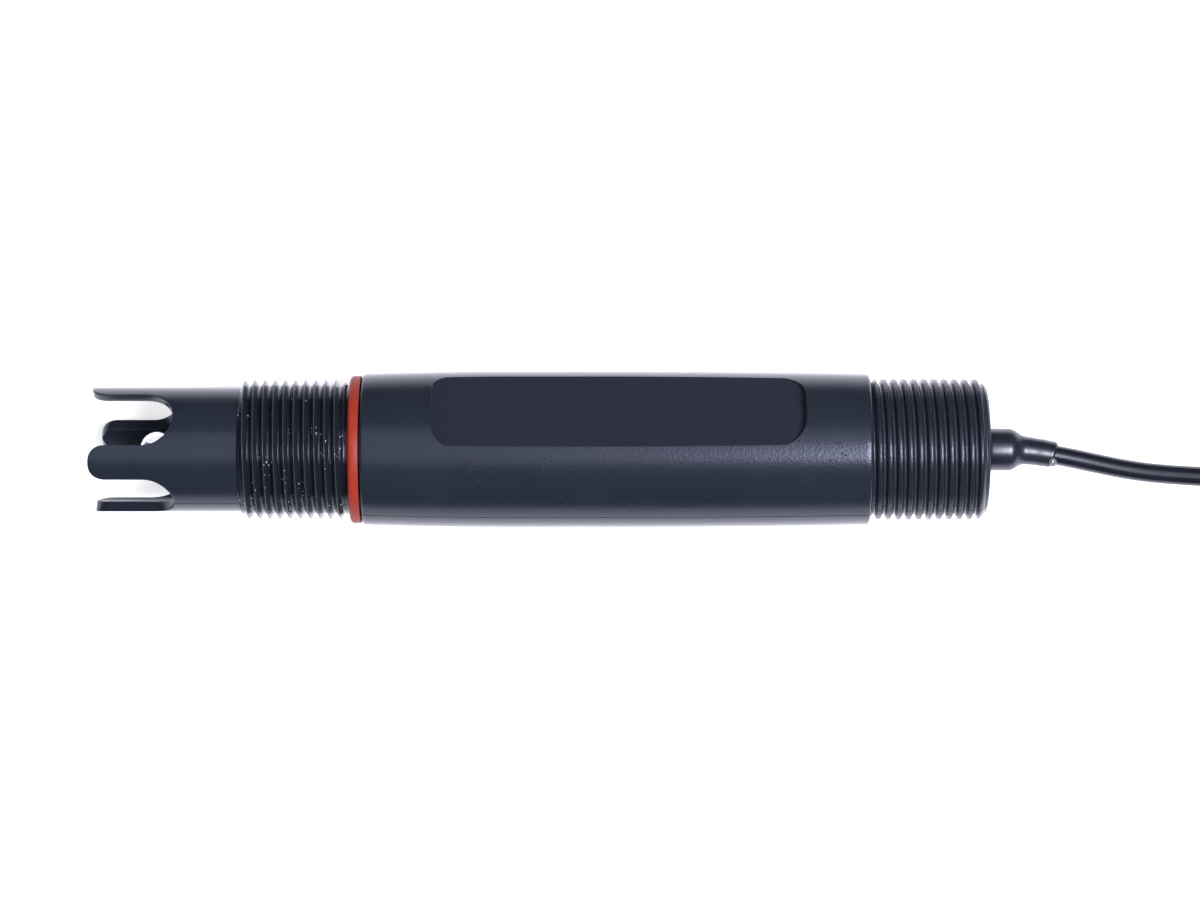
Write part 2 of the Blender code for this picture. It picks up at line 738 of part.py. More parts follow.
def make_chamber_bung(parts, cutters, plastic, rubber):
    """Bung that closes the electrolyte chamber, with an O-ring outside and one at the stem."""
    outer = MAIN_BORE_R - GAP
    end, middle = BUNG_STATION + BUNG_LENGTH, BUNG_STATION + BUNG_LENGTH / 2
    groove = BUNG_CORD / 2 + GAP
    floor_r = outer - BUNG_CORD - GAP
    seat_r = STEM_HOLE_R + STEM_CORD + GAP
    seat = BUNG_STATION + STEM_CORD + GAP
    section = [
        (end, outer),
        (middle + groove, outer),
        (middle + groove, floor_r),
        (middle - groove, floor_r),
        (middle - groove, outer),
        (BUNG_STATION, outer),
        (BUNG_STATION, seat_r),
        (seat, seat_r),
        (seat, STEM_HOLE_R),
        (end, STEM_HOLE_R),
    ]
    bung = turned("chamber_bung", section, plastic, parts)
    lie_along_x(bung, x=x_of(0.0))
    before, after = BUNG_STATION - CUT_PAST, end + CUT_PAST
    hole = rod("reference_hole", before, after, WIRE_R + GAP, None, cutters, REFERENCE_OFFSET)
    boolean(bung, hole, "DIFFERENCE")
    o_ring("bung_o_ring", middle, floor_r + GAP, BUNG_CORD, rubber, parts)
    o_ring("stem_o_ring", BUNG_STATION + STEM_CORD / 2, STEM_HOLE_R, STEM_CORD, rubber, parts)
    return bung


def make_wires(parts, silver, chloride, insulation, shrink):
    """The two half cells' wires and the lead's cores that they are soldered to."""
    tip = BULB_CENTRE + WIRE_SET_BACK
    silver_end = STEM_END + WIRE_TAIL
    rod("silver_wire", tip, silver_end, WIRE_R, silver, parts)
    jacket = TOTAL_LENGTH - CABLE_INSIDE
    rod("core_lead", silver_end + GAP, jacket - GAP, CORE_LEAD_R, insulation, parts)
    inner = CORE_LEAD_R + GAP
    outer = inner + SOLDER_SLEEVE_WALL
    start = silver_end - SOLDER_SLEEVE_LENGTH / 2
    end = start + SOLDER_SLEEVE_LENGTH
    sleeve("core_solder_sleeve", start, end, inner, outer, shrink, parts)
    rod("reference_wire", REFERENCE_STATION, REFERENCE_END, WIRE_R, chloride, parts, REFERENCE_OFFSET)
    inner = SHIELD_LEAD_R + GAP
    outer = inner + SOLDER_SLEEVE_WALL
    start = REFERENCE_END - SOLDER_SLEEVE_LENGTH / 2
    end = start + SOLDER_SLEEVE_LENGTH
    sleeve("reference_solder_sleeve", start, end, inner, outer, shrink, parts, REFERENCE_OFFSET)
    straight = end + SHIELD_STRAIGHT
    offsets = [
        (REFERENCE_END + GAP, REFERENCE_OFFSET),
        (straight, REFERENCE_OFFSET),
        ((straight + jacket) / 2, (REFERENCE_OFFSET + SHIELD_OFFSET) / 2),
        (jacket - SHIELD_ENTRY, SHIELD_OFFSET),
        (jacket - GAP, SHIELD_OFFSET),
    ]
    way = [(x_of(station), 0.0, AXIS_Z + up) for station, up in offsets]
    route = smooth_route(way, SHIELD_POINT_SPACING)
    tube("shield_lead", route, SHIELD_LEAD_R, insulation, parts, sides=1)


def make_stem_stopper(parts, finish):
    """Rubber stopper in the stem's open end, with the silver wire through it."""
    plug_r = STEM_R - STEM_WALL - GAP
    hole = WIRE_R + GAP
    section = [
        (STEM_END + GAP + STOPPER_HEAD, STEM_R),
        (STEM_END + GAP, STEM_R),
        (STEM_END + GAP, plug_r),
        (STEM_END - STOPPER_DEPTH, plug_r),
        (STEM_END - STOPPER_DEPTH, hole),
        (STEM_END + GAP + STOPPER_HEAD, hole),
    ]
    stopper = turned("stem_stopper", section, finish, parts, SMALL_FACETS)
    lie_along_x(stopper, x=x_of(0.0))
    return stopper


def make_potting(parts, finish):
    """Epoxy that fills the rear of the bore round the lead and its bush."""
    front = TOTAL_LENGTH - POTTING_DEPTH + GAP
    rear = TOTAL_LENGTH - POTTING_RECESS
    bush_seat = TOTAL_LENGTH + BUSH_PROUD - BUSH_LENGTH - GAP
    outer = POTTING_BORE_R - GAP
    section = [
        (rear, outer),
        (front, outer),
        (front, CABLE_HOLE_R),
        (bush_seat, CABLE_HOLE_R),
        (bush_seat, BUSH_R + GAP),
        (rear, BUSH_R + GAP),
    ]
    potting = turned("epoxy_potting", section, finish, parts)
    lie_along_x(potting, x=x_of(0.0))
    return potting


def lead_route(first, last, spacing):
    """Points along the lead between two distances past the housing's rear face."""
    way = [(REAR_X + past * MM, across * MM, AXIS_Z + up * MM) for past, across, up in LEAD_ROUTE]
    inside = [(REAR_X - CABLE_INSIDE * share, 0.0, AXIS_Z) for share in (1.0, 0.5, 0.0)]
    route = smooth_route(inside + way, spacing)
    return [p for p in route if REAR_X + first - MERGE <= p.x <= REAR_X + last + MERGE]


def make_shrink_sleeve(parts, cutters, finish):
    """Heat-shrink sleeve: a bulge over the bush, a shoulder, then a neck down the lead."""
    bulge_r = BUSH_R + GAP + SHRINK_WALL
    bulge_end = BUSH_PROUD + GAP + SHRINK_POINT_SPACING
    neck = bulge_end + SHRINK_SHOULDER

    def outer_radius(past):
        """Radius at a distance past the housing's rear face."""
        if past <= bulge_end:
            return bulge_r
        if past <= neck:
            share = (past - bulge_end) / (neck - bulge_end)
            return bulge_r + (SHRINK_NECK_R - bulge_r) * (1 - math.cos(math.pi * share)) / 2
        share = (past - neck) / (SHRINK_END - neck)
        return SHRINK_NECK_R + (SHRINK_TIP_R - SHRINK_NECK_R) * share

    route = lead_route(SHRINK_START, SHRINK_END, SHRINK_POINT_SPACING)
    radii = [outer_radius(p.x - REAR_X) / bulge_r for p in route]
    shell = tube("shrink_sleeve", route, bulge_r, None, parts, radii, sides=4)
    shell = mesh_of_curve(shell, parts)
    shell.data.materials.append(finish)
    route = lead_route(-CUT_PAST, SHRINK_END + CUT_PAST, SHRINK_POINT_SPACING)
    seat_r = BUSH_R + GAP
    radii = [1.0 if p.x - REAR_X <= bulge_end else CABLE_HOLE_R / seat_r for p in route]
    hole = tube("lead_hole", route, seat_r, None, cutters, radii, sides=4)
    boolean(shell, mesh_of_curve(hole, cutters), "DIFFERENCE")
    return shell


def make_lead(parts, cutters, jacket, rubber, shrink):
    """The lead from the potting to the hank, its bush and its heat-shrink sleeve."""
    bush_end = TOTAL_LENGTH + BUSH_PROUD
    sleeve("cable_bush", bush_end - BUSH_LENGTH, bush_end, CABLE_HOLE_R, BUSH_R, rubber, parts)
    make_shrink_sleeve(parts, cutters, shrink)
    route = lead_route(-CABLE_INSIDE, HANK_FACE, CABLE_POINT_SPACING)
    tube("cable", route, CABLE_R, jacket, parts)


def stadium(half_length, radius, steps=8):
    """An outline with two straight sides along X and two round ends."""
    right = arc((half_length, 0.0), radius, -90, 90, steps)
    left = arc((-half_length, 0.0), radius, 90, 270, steps)
    return right + left


def flat_outline(name, outlines, half_thickness, finish, parts):
    """A filled 2D curve of closed outlines, thickened to both sides; inner ones are holes."""
    data = bpy.data.curves.new(name, "CURVE")
    data.dimensions = "2D"
    data.fill_mode = "BOTH"
    data.extrude = half_thickness
    data.resolution_u = 1
    for outline in outlines:
        spline = data.splines.new("POLY")
        spline.points.add(len(outline) - 1)
        for n, (x, y) in enumerate(outline):
            spline.points[n].co = (x, y, 0.0, 1.0)
        spline.use_cyclic_u = True
    return add_object(name, data, finish, parts)


def rounded_rectangle(half_width, half_height, corner, steps=3):
    """An outline of a rectangle about the origin with round corners."""
    x, y = half_width - corner, half_height - corner
    outline = []
    for centre, start in (((x, -y), -90), ((x, y), 0), ((-x, y), 90), ((-x, -y), 180)):
        outline += arc(centre, corner, start, start + 90, steps)
    return outline


def make_hank(parts, jacket, tie_finish):
    """The spare lead as one oblong bundle with an eye, and a tie round each straight run."""
    half = HANK_STRAIGHT / 2
    hank = flat_outline(
        "cable_hank",
        [stadium(half, HANK_OUTER_R), stadium(half, HANK_EYE_R)],
        (HANK_TOP - HANK_BASE) / 2,
        jacket,
        parts,
    )
    centre_x = HANK_X + HANK_OUTER_R + half
    centre_z = (HANK_TOP + HANK_BASE) / 2
    hank.location = (centre_x, 0.0, centre_z)
    run_half = (HANK_OUTER_R - HANK_EYE_R) / 2 + GAP
    height_half = (HANK_TOP - HANK_BASE) / 2 + GAP
    inner = rounded_rectangle(run_half, height_half, TIE_INNER_CORNER)
    outer = rounded_rectangle(run_half + TIE_THICKNESS, height_half + TIE_THICKNESS, TIE_CORNER)
    for side, name in ((1, "hank_tie_left"), (-1, "hank_tie_right")):
        tie = flat_outline(name, [outer, inner], TIE_WIDTH / 2, tie_finish, parts)
        tie.rotation_euler = (math.radians(90), 0.0, math.radians(90))
        tie.location = (centre_x, side * (HANK_OUTER_R + HANK_EYE_R) / 2, centre_z)
    return hank


def plug_turned(name, section, finish, parts, facets=FACETS):
    """A turned piece of the plug, its section given from the rear of the boot."""
    made = turned(name, section, finish, parts, facets)
    lie_along_x(made, x=PLUG_X, z=PLUG_Z)
    return made


def plug_tube(name, start, end, inner, outer, finish, parts):
    """A plain tube in the plug between two stations from the rear of the boot."""
    section = [(end, outer), (start, outer), (start, inner), (end, inner)]
    return plug_turned(name, section, finish, parts)


def make_plug_boot(parts, rubber):
    """Tapered rubber boot over the lead and the rear of the ferrule, with two grip rings."""
    seat = FERRULE_STATION - GAP
    wide = FERRULE_R + GAP
    section = [(BOOT_LENGTH, BOOT_FRONT_R)]
    section += [(station * MM, BOOT_FRONT_R - drop * MM) for station, drop in BOOT_RINGS]
    section += [
        (0.0, BOOT_REAR_R),
        (0.0, CABLE_HOLE_R),
        (seat, CABLE_HOLE_R),
        (seat, wide),
        (BOOT_LENGTH, wide),
    ]
    return plug_turned("plug_boot", section, rubber, parts)


def make_plug_body(parts, cutters, metal):
    """Plug body: collar, neck that carries the coupling ring, flange and split contact."""
    end = CONTACT_STATION + CONTACT_LENGTH
    bore_r = CONTACT_R - CONTACT_WALL
    section = [
        (end, CONTACT_R - CONTACT_LEAD_IN),
        (end - CONTACT_WALL, CONTACT_R),
        (CONTACT_STATION, CONTACT_R),
        (CONTACT_STATION, FLANGE_R),
        (FLANGE_STATION, FLANGE_R),
        (FLANGE_STATION, PLUG_NECK_R),
        (NECK_START, PLUG_NECK_R),
        (NECK_START, COLLAR_R),
        (BODY_STATION + GRIP_EDGE, COLLAR_R),
        (BODY_STATION, COLLAR_R - GRIP_EDGE),
        (BODY_STATION, CORE_HOLE_R),
        (BODY_STATION + COLLAR_WALL, CORE_HOLE_R),
        (BODY_STATION + COLLAR_WALL, bore_r),
        (end, bore_r),
    ]
    body = plug_turned("plug_body", section, metal, parts)
    size = (CONTACT_SLOT_LENGTH * 2, (CONTACT_R + CUT_PAST) * 2, CONTACT_SLOT)
    for n, turn in enumerate((45, 135)):
        slot = block(f"contact_slot_{n}", size, (PLUG_X + end, 0.0, PLUG_Z), cutters)
        slot.rotation_euler = (math.radians(turn), 0.0, 0.0)
        boolean(body, slot, "DIFFERENCE")
    return body


def block(name, size, place, collection):
    """A cube primitive at its real size."""
    data = bpy.data.meshes.new(name)
    work = bmesh.new()
    bmesh.ops.create_cube(work, size=1.0, matrix=Matrix.Diagonal((*size, 1.0)))
    work.to_mesh(data)
    work.free()
    made = add_object(name, data, None, collection)
    made.location = place
    return made


def make_coupling_ring(parts, cutters, metal):
    """Bayonet ring that turns on the plug's neck: fluted grip, web, entry slots and holes."""
    start, end = COUPLING_STATION, COUPLING_STATION + COUPLING_LENGTH
    grip_end = start + COUPLING_GRIP
    web_r = PLUG_NECK_R + GAP
    section = [
        (end, COUPLING_FRONT_R - GRIP_EDGE),
        (end - GRIP_EDGE, COUPLING_FRONT_R),
        (grip_end, COUPLING_FRONT_R),
        (grip_end, COUPLING_R - GRIP_EDGE),
        (grip_end - GRIP_EDGE, COUPLING_R),
        (start + GRIP_EDGE, COUPLING_R),
        (start, COUPLING_R - GRIP_EDGE),
        (start, web_r),
        (start + COUPLING_WEB, web_r),
        (start + COUPLING_WEB, COUPLING_BORE_R),
        (end, COUPLING_BORE_R),
    ]
    ring = plug_turned("coupling_ring", section, metal, parts, RING_FACETS)
    for n in range(GRIP_FLUTES):
        turn = math.radians(360 * (n + 0.5) / GRIP_FLUTES)
        flute = rod(f"grip_flute_{n}", 0.0, COUPLING_GRIP + CUT_PAST, FLUTE_R, None, cutters, facets=6)
        middle = COUPLING_R + FLUTE_RISE
        rise = middle * math.cos(turn)
        flute.location = (PLUG_X + start - CUT_PAST / 2, middle * math.sin(turn), PLUG_Z + rise)
        boolean(ring, flute, "DIFFERENCE")
    for n, side in enumerate((1, -1)):
        hole = rod(f"bayonet_hole_{n}", 0.0, COUPLING_R, BAYONET_HOLE_R, None, cutters)
        hole.rotation_euler = (0.0, 0.0 if side > 0 else math.radians(180), 0.0)
        hole.location = (PLUG_X + start + BAYONET_HOLE_STATION, 0.0, PLUG_Z + side * PLUG_NECK_R)
        boolean(ring, hole, "DIFFERENCE")
        ramp = ramp_cutter(f"bayonet_ramp_{n}", start, 0 if side > 0 else 180, cutters)
        boolean(ring, ramp, "DIFFERENCE")
    reach = COUPLING_BORE_R + BAYONET_ENTRY_DEPTH
    length = COUPLING_LENGTH - BAYONET_HOLE_STATION
    size = (length * 2, 2 * reach, BAYONET_ENTRY_WIDTH)
    entry = block("bayonet_entry", size, (PLUG_X + end, 0.0, PLUG_Z), cutters)
    boolean(ring, entry, "DIFFERENCE")
    return ring


def ramp_cutter(name, start, angle, collection):
    """A round bar on a quarter turn of a helix: the ramp from an entry slot to its hole."""
    middle_r = COUPLING_BORE_R + BAYONET_ENTRY_DEPTH - RAMP_R
    rise = COUPLING_LENGTH - BAYONET_HOLE_STATION - BAYONET_ENTRY_WIDTH / 2
    route = []
    for n in range(RAMP_STEPS + 1):
        share = n / RAMP_STEPS
        turn = math.radians(angle + 90 * share)
        place = PLUG_X + start + BAYONET_HOLE_STATION + rise * share
        route.append((place, middle_r * math.sin(turn), PLUG_Z + middle_r * math.cos(turn)))
    return mesh_of_curve(tube(name, route, RAMP_R, None, collection), collection)


def make_plug(parts, cutters, metal, gold, rubber, red, white, jacket):
    """The coaxial plug on the lead's far end, and the last run of the lead to it."""
    make_plug_boot(parts, rubber)
    ferrule_end = FERRULE_STATION + FERRULE_LENGTH
    plug_tube("crimp_ferrule", FERRULE_STATION, ferrule_end, CABLE_HOLE_R, FERRULE_R, metal, parts)
    make_plug_body(parts, cutters, metal)
    make_coupling_ring(parts, cutters, metal)
    washer_end = WASHER_STATION + WASHER_THICKNESS
    inner, outer = PLUG_NECK_R + GAP, COUPLING_BORE_R - GAP
    plug_tube("spring_washer", WASHER_STATION, washer_end, inner, outer, metal, parts)
    gasket = CONTACT_STATION + GAP
    inner = CONTACT_R + GAP
    outer = inner + GASKET_THICKNESS
    plug_tube("plug_gasket", gasket, gasket + GASKET_WIDTH, inner, outer, red, parts)
    insulator = BODY_STATION + COLLAR_WALL + GAP
    outer, inner = CONTACT_R - CONTACT_WALL - GAP, PIN_R + GAP
    plug_tube("plug_insulator", insulator, insulator + INSULATOR_LENGTH, inner, outer, white, parts)
    pin = BODY_STATION + GAP
    tip = pin + PIN_LENGTH
    section = [(tip, 0.0), (tip, PIN_TIP_R), (tip - PIN_R, PIN_R), (pin, PIN_R), (pin, 0.0)]
    made = turned("centre_pin", section, gold, parts, SMALL_FACETS, closed=False)
    lie_along_x(made, x=PLUG_X, z=PLUG_Z)
    way = [(PLUG_X - short * MM, across * MM, PLUG_Z + up * MM) for short, across, up in TAIL_ROUTE]
    way.append((PLUG_X + ferrule_end - GAP, 0.0, PLUG_Z))
    tube("cable_tail", smooth_route(way, CABLE_POINT_SPACING / 2), CABLE_R, jacket, parts)


def main():
    clear_scene()
    parts = new_collection("ph_electrode")
    cutters = new_collection("cutters")
    plastic = material("housing_plastic", (0.024, 0.029, 0.042), 0.42)
    red = material("seal_rubber", (0.36, 0.045, 0.03), 0.55)
    glass = material("glass", (0.8, 0.82, 0.9), 0.05, transmission=0.8)
    white = material("porous_polymer", (0.85, 0.85, 0.82), 0.6)
    rubber = material("black_rubber", (0.02, 0.02, 0.022), 0.7)
    pale_rubber = material("pale_rubber", (0.6, 0.58, 0.52), 0.6)
    silver = material("silver", (0.85, 0.84, 0.82), 0.25, metallic=1.0)
    chloride = material("chlorided_silver", (0.2, 0.17, 0.17), 0.6)
    insulation = material("wire_insulation", (0.75, 0.75, 0.7), 0.4)
    shrink = material("shrink_tube", (0.01, 0.01, 0.012), 0.3)
    epoxy = material("epoxy", (0.015, 0.015, 0.017), 0.2)
    jacket = material("cable_jacket", (0.012, 0.012, 0.014), 0.35)
    nickel = material("nickel_plate", (0.7, 0.68, 0.64), 0.22, metallic=1.0)
    gold = material("gold_plate", (0.9, 0.65, 0.25), 0.2, metallic=1.0)
    make_housing(parts, cutters, plastic)
    make_seal_ring(parts, red)
    make_glass(parts, glass)
    make_junction_ring(parts, white)
    make_stem_spacer(parts, cutters, white)
    make_chamber_bung(parts, cutters, white, rubber)
    make_stem_stopper(parts, pale_rubber)
    make_wires(parts, silver, chloride, insulation, shrink)
    make_potting(parts, epoxy)
    make_lead(parts, cutters, jacket, rubber, shrink)
    make_hank(parts, jacket, rubber)
    make_plug(parts, cutters, nickel, gold, rubber, red, white, jacket)
    for piece in parts.objects:
        if piece.type == "MESH":
            smoothed(piece)


main()
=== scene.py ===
"""Looks of a process pH electrode: its fine surfaces, finishes, lead, light and camera.

The electrode lies along X with its guard at -X, its axis AXIS_Z above the floor. A station
is a distance from the tips of the guard's prongs, and an angle about the axis is counted
from the top towards +Y. Lengths are in metres, written as millimetres times MM.
"""

import math

import bmesh
import bpy
import numpy as np
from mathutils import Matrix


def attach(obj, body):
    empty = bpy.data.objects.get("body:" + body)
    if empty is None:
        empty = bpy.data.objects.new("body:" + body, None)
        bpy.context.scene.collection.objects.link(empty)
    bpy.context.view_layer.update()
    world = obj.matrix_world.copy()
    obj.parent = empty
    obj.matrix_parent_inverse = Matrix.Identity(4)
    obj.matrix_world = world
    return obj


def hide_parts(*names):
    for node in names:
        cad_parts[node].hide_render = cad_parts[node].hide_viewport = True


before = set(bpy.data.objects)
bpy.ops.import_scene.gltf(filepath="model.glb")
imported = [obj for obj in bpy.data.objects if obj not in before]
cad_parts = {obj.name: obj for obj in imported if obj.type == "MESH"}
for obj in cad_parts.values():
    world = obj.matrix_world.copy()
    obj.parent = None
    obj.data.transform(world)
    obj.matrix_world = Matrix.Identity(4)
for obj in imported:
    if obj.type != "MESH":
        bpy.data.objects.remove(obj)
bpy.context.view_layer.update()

MM = 0.001
AXIS_Z = 13.97 * MM
HALF_LENGTH = 80 * MM
BODY = "electrode"
WELD = 0.0005 * MM

# Camera, which looks straight down as the photograph does
CAMERA_X = 10.8 * MM
CAMERA_Y = -0.1 * MM
CAMERA_HEIGHT = 726 * MM  # above the electrode's axis
CAMERA_LENS = 121.2  # in millimetres, as Blender takes it
CAMERA_SENSOR = 36  # likewise

# Housing, outside
SLEEVE_END = 26.4 * MM
THREAD_END = 45.6 * MM
BARREL_START = 48.3 * MM
BARREL_END = 139.2 * MM
TOTAL_LENGTH = 160 * MM
SLEEVE_R = 11.15 * MM
NECK_R = 11.35 * MM
BARREL_R = 13.97 * MM
BARREL_CROWN = 0.45 * MM
CROWN_PEAK = 83.2 * MM
CROWN_FLAT = 16 * MM
BARREL_FRONT_EDGE = 0.45 * MM
BARREL_REAR_EDGE = 0.6 * MM
BARREL_REAR_DROP = 1.3 * MM

# Pipe threads
PITCH = 25.4 * MM / 14
FRONT_CREST = 28.44 * MM  # station of a crest underneath
REAR_CREST = 141.2 * MM
FRONT_ROOT_R = 11.5 * MM
REAR_ROOT_R = 11.65 * MM
THREAD_MIDDLE_R = 12.1 * MM  # halfway up both threads' flanks
# lead-in cones: height above the root where the thread starts, how much they rise for each
# length on, and height above the root where it ends
FRONT_LEAD_IN = (-0.3 * MM, 1.7, 0.1 * MM)
REAR_LEAD_IN = (0.1 * MM, 1.0, -0.35 * MM)
# half of a ridge, in millimetres: distance from its crest, and height above the root
FRONT_RIDGE = [
    (0.0, 1.05),
    (0.07, 1.03),
    (0.11, 0.96),
    (0.16, 0.86),
    (0.62, 0.14),
    (0.7, 0.03),
    (0.78, 0.0),
]
REAR_RIDGE = [
    (0.0, 1.0),
    (0.27, 0.998),
    (0.34, 0.96),
    (0.39, 0.87),
    (0.48, 0.66),
    (0.69, 0.12),
    (0.78, 0.0),
]

# Housing, inside
GUARD_BORE_R = 9.35 * MM
GUARD_DEPTH = 17 * MM
WEB_END = 22 * MM
WEB_BORE_R = 6.5 * MM
MAIN_BORE_R = 8.5 * MM
POTTING_BORE_R = 9.2 * MM
POTTING_STATION = 150 * MM

# Guard slots
SLOT_HALF = 5.25 * MM
SLOT_DEPTH = 14.9 * MM
SLOT_ANGLE = math.radians(32.5)
TIP_LENGTH = 2.9 * MM
TIP_INSET = 2.3 * MM
GUARD_FILLET = 0.16 * MM
GUARD_BLEND = 20.5 * MM  # where the guard's columns begin to spread evenly

# Wrench flats
FLAT_ANGLE = math.radians(35.3)
FLAT_R = 11.7 * MM
FLAT_HALF_WIDTH = 7.7 * MM
FLAT_FRONT = BARREL_START + 12.7 * MM
FLAT_REAR = BARREL_START + 79.1 * MM
FLAT_FRONT_CORNER = 3.9 * MM
FLAT_REAR_CORNER = 5.4 * MM
FLAT_EDGE = 0.15 * MM

PARTING_ANGLE = math.radians(-60)

# Columns of faces round the housing
SLOT_COLUMNS = 32
PRONG_COLUMNS = 16
FLAT_COLUMNS = 36
COLUMNS = 4 * (SLOT_COLUMNS + PRONG_COLUMNS)

# Lead and its exit
CABLE_R = 1.75 * MM
CABLE_SIDES = 14
CABLE_INSIDE = 21 * MM

# Hank of spare lead
HANK_CENTRE_X = 168.25 * MM
HANK_HALF = 27 * MM  # half of a straight run
HANK_INNER = 10.5 * MM  # radius of the innermost strands' bends
HANK_FLOOR = 2.85 * MM  # height of the lowest strands' middle
STRAND = 3.5 * MM  # from one strand's middle to the next
MOVE_START = 2.5 * MM  # from a straight run's start to where a strand begins to move over
MOVE_LENGTH = 15.5 * MM
MOVE_LAG = 9.4 * MM  # how much further on a strand one layer up does so

# Plug
PLUG_X = 166 * MM  # where the lead enters its boot
PLUG_Z = 7.25 * MM  # height of its axis

# The lead from the housing to the hank: millimetres past the rear face, across towards
# +Y, and above the axis
LEAD_ROUTE = [
    (2.7, 0.0, 0.0),
    (7.0, -0.16, 0.0),
    (11.3, -0.77, 0.05),
    (15.6, -1.58, 0.15),
    (19.9, -2.5, 0.35),
    (24.2, -3.38, 0.65),
    (28.5, -4.06, 1.05),
    (32.9, -4.49, 1.6),
    (38.2, -4.85, 2.4),
    (41.7, -4.95, 2.88),
    (46.0, -5.5, 2.88),
    (51.0, -7.4, 2.88),
    (56.0, -9.6, 2.88),
]
# From the hank to the plug: millimetres short of the boot, across, above the plug's axis
TAIL_ROUTE = [
    (21.5, -10.2, -4.35),
    (18.2, -8.7, -3.95),
    (15.0, -6.5, -3.2),
    (11.0, -3.9, -2.1),
    (7.0, -1.7, -1.0),
    (3.0, -0.4, -0.25),
    (0.0, 0.0, 0.0),
    (-4.0, 0.0, 0.0),
    (-13.7, 0.0, 0.0),
]


# Points and meshes

def place(station, angle, radius):
    """Points at a station, an angle from the top towards +Y and a radius: x is the station
    less half the length, y the radius times the sine, z the axis plus its cosine."""
    station, angle, radius = np.broadcast_arrays(station, angle, radius)
    return np.stack(
        [station - HALF_LENGTH, radius * np.sin(angle), AXIS_Z + radius * np.cos(angle)], axis=-1
    )


def grid_faces(rows, columns):
    """Corner numbers of the quads between neighbouring rows and columns of a grid."""
    first = (np.arange(rows - 1)[:, None] * columns + np.arange(columns - 1)).reshape(-1)
    return np.stack([first, first + 1, first + columns + 1, first + columns], axis=1)


def surface(name, patches, finish, sharp=50):
    """One closed mesh of grids of points, welded where their borders meet.

    Each patch is an array of rows by columns by three. Points nearer than WELD become one,
    faces that close up go, and the rest turn outwards."""
    points, faces, count = [], [], 0
    for patch in patches:
        rows, columns = patch.shape[:2]
        points.append(patch.reshape(-1, 3))
        faces.append(grid_faces(rows, columns) + count)
        count += rows * columns
    data = bpy.data.meshes.new(name)
    data.from_pydata(np.concatenate(points).tolist(), [], np.concatenate(faces).tolist())
    work = bmesh.new()
    work.from_mesh(data)
    bmesh.ops.remove_doubles(work, verts=work.verts, dist=WELD)
    bmesh.ops.dissolve_degenerate(work, edges=work.edges, dist=WELD)
    bmesh.ops.recalc_face_normals(work, faces=work.faces)
    work.to_mesh(data)
    work.free()
    data.shade_smooth()
    data.set_sharp_from_angle(angle=math.radians(sharp))
    data.materials.append(finish)
    made = bpy.data.objects.new(name, data)
    bpy.context.scene.collection.objects.link(made)
    return made


def stands_for(made, body, *nodes):
    """The piece moves with the body and takes the place of those nodes."""
    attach(made, body)
    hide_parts(*nodes)
    return made


def turned(name, profile, finish, sides=96, closed=True):
    """A piece turned about the electrode's axis: each (station, radius) of the profile goes
    round in a circle. A closed profile ends where it starts."""
    line = np.array(profile, float)
    if closed:
        line = np.concatenate([line, line[:1]])
    turn = np.linspace(0, 2 * math.pi, sides + 1)
    return surface(name, [place(line[:, :1], turn, line[:, 1:])], finish, 35)


def spline(points, spacing):
    """Points evenly spaced along a smooth line: between two points a cubic that passes
    through both, parallel at each to the line between its neighbours; the ends go straight."""
    way = np.array(points, float)
    way = np.concatenate([[2 * way[0] - way[1]], way, [2 * way[-1] - way[-2]]])
    a, b, c, d = (way[n : len(way) - 3 + n, None] for n in range(4))
    t = np.linspace(0, 1, 16, endpoint=False)[:, None]
    fine = b + (c - a) * t / 2 + (2 * a - 5 * b + 4 * c - d) * t**2 / 2
    fine = (fine + (3 * b - a - 3 * c + d) * t**3 / 2).reshape(-1, 3)
    fine = np.concatenate([fine, way[-2:-1]])
    return resampled(fine, spacing)


def resampled(line, spacing):
    """The same line with points at an even spacing."""
    run = np.concatenate([[0], np.cumsum(np.linalg.norm(np.diff(line, axis=0), axis=1))])
    at = np.linspace(0, run[-1], max(2, round(run[-1] / spacing)) + 1)
    return np.stack([np.interp(at, run, line[:, axis]) for axis in range(3)], axis=1)


def line_length(line):
    """Length of a line of points: the sum of its steps."""
    return float(np.linalg.norm(np.diff(line, axis=0), axis=1).sum())


def frames(line):
    """Two directions across a line at each point, carried along it with no twist: each is
    the last one with its part along the new direction taken off."""
    ahead = np.gradient(line, axis=0)
    ahead /= np.linalg.norm(ahead, axis=1)[:, None]
    side = np.zeros_like(ahead)
    start = np.array([0.0, 1.0, 0.0])
    for n, way in enumerate(ahead):
        start = start - way * (start @ way)
        start = start / np.linalg.norm(start)
        side[n] = start
    return ahead, side, np.cross(ahead, side)


def swept(line, at, radii, sides, skew=0.0):
    """A round skin along a line: at gives each ring's distance along it, which may go back
    as well as on, and radii its radius. skew slants the rings by that share of the radius."""
    run = np.concatenate([[0], np.cumsum(np.linalg.norm(np.diff(line, axis=0), axis=1))])
    ahead, side, over = frames(line)
    pick = [
        np.stack([np.interp(at, run, part[:, axis]) for axis in range(3)], axis=1)
        for part in (line, ahead, side, over)
    ]
    centre, ahead, side, over = (part[:, None, :] for part in pick)
    turn = np.linspace(0, 2 * math.pi, sides + 1)[None, :, None]
    radius = np.asarray(radii, float)[:, None, None]
    slant = np.broadcast_to(np.asarray(skew, float), np.shape(at))[:, None, None]
    ring = side * np.cos(turn) + over * np.sin(turn)
    return centre + radius * ring + ahead * slant * radius * np.cos(turn)


# Materials

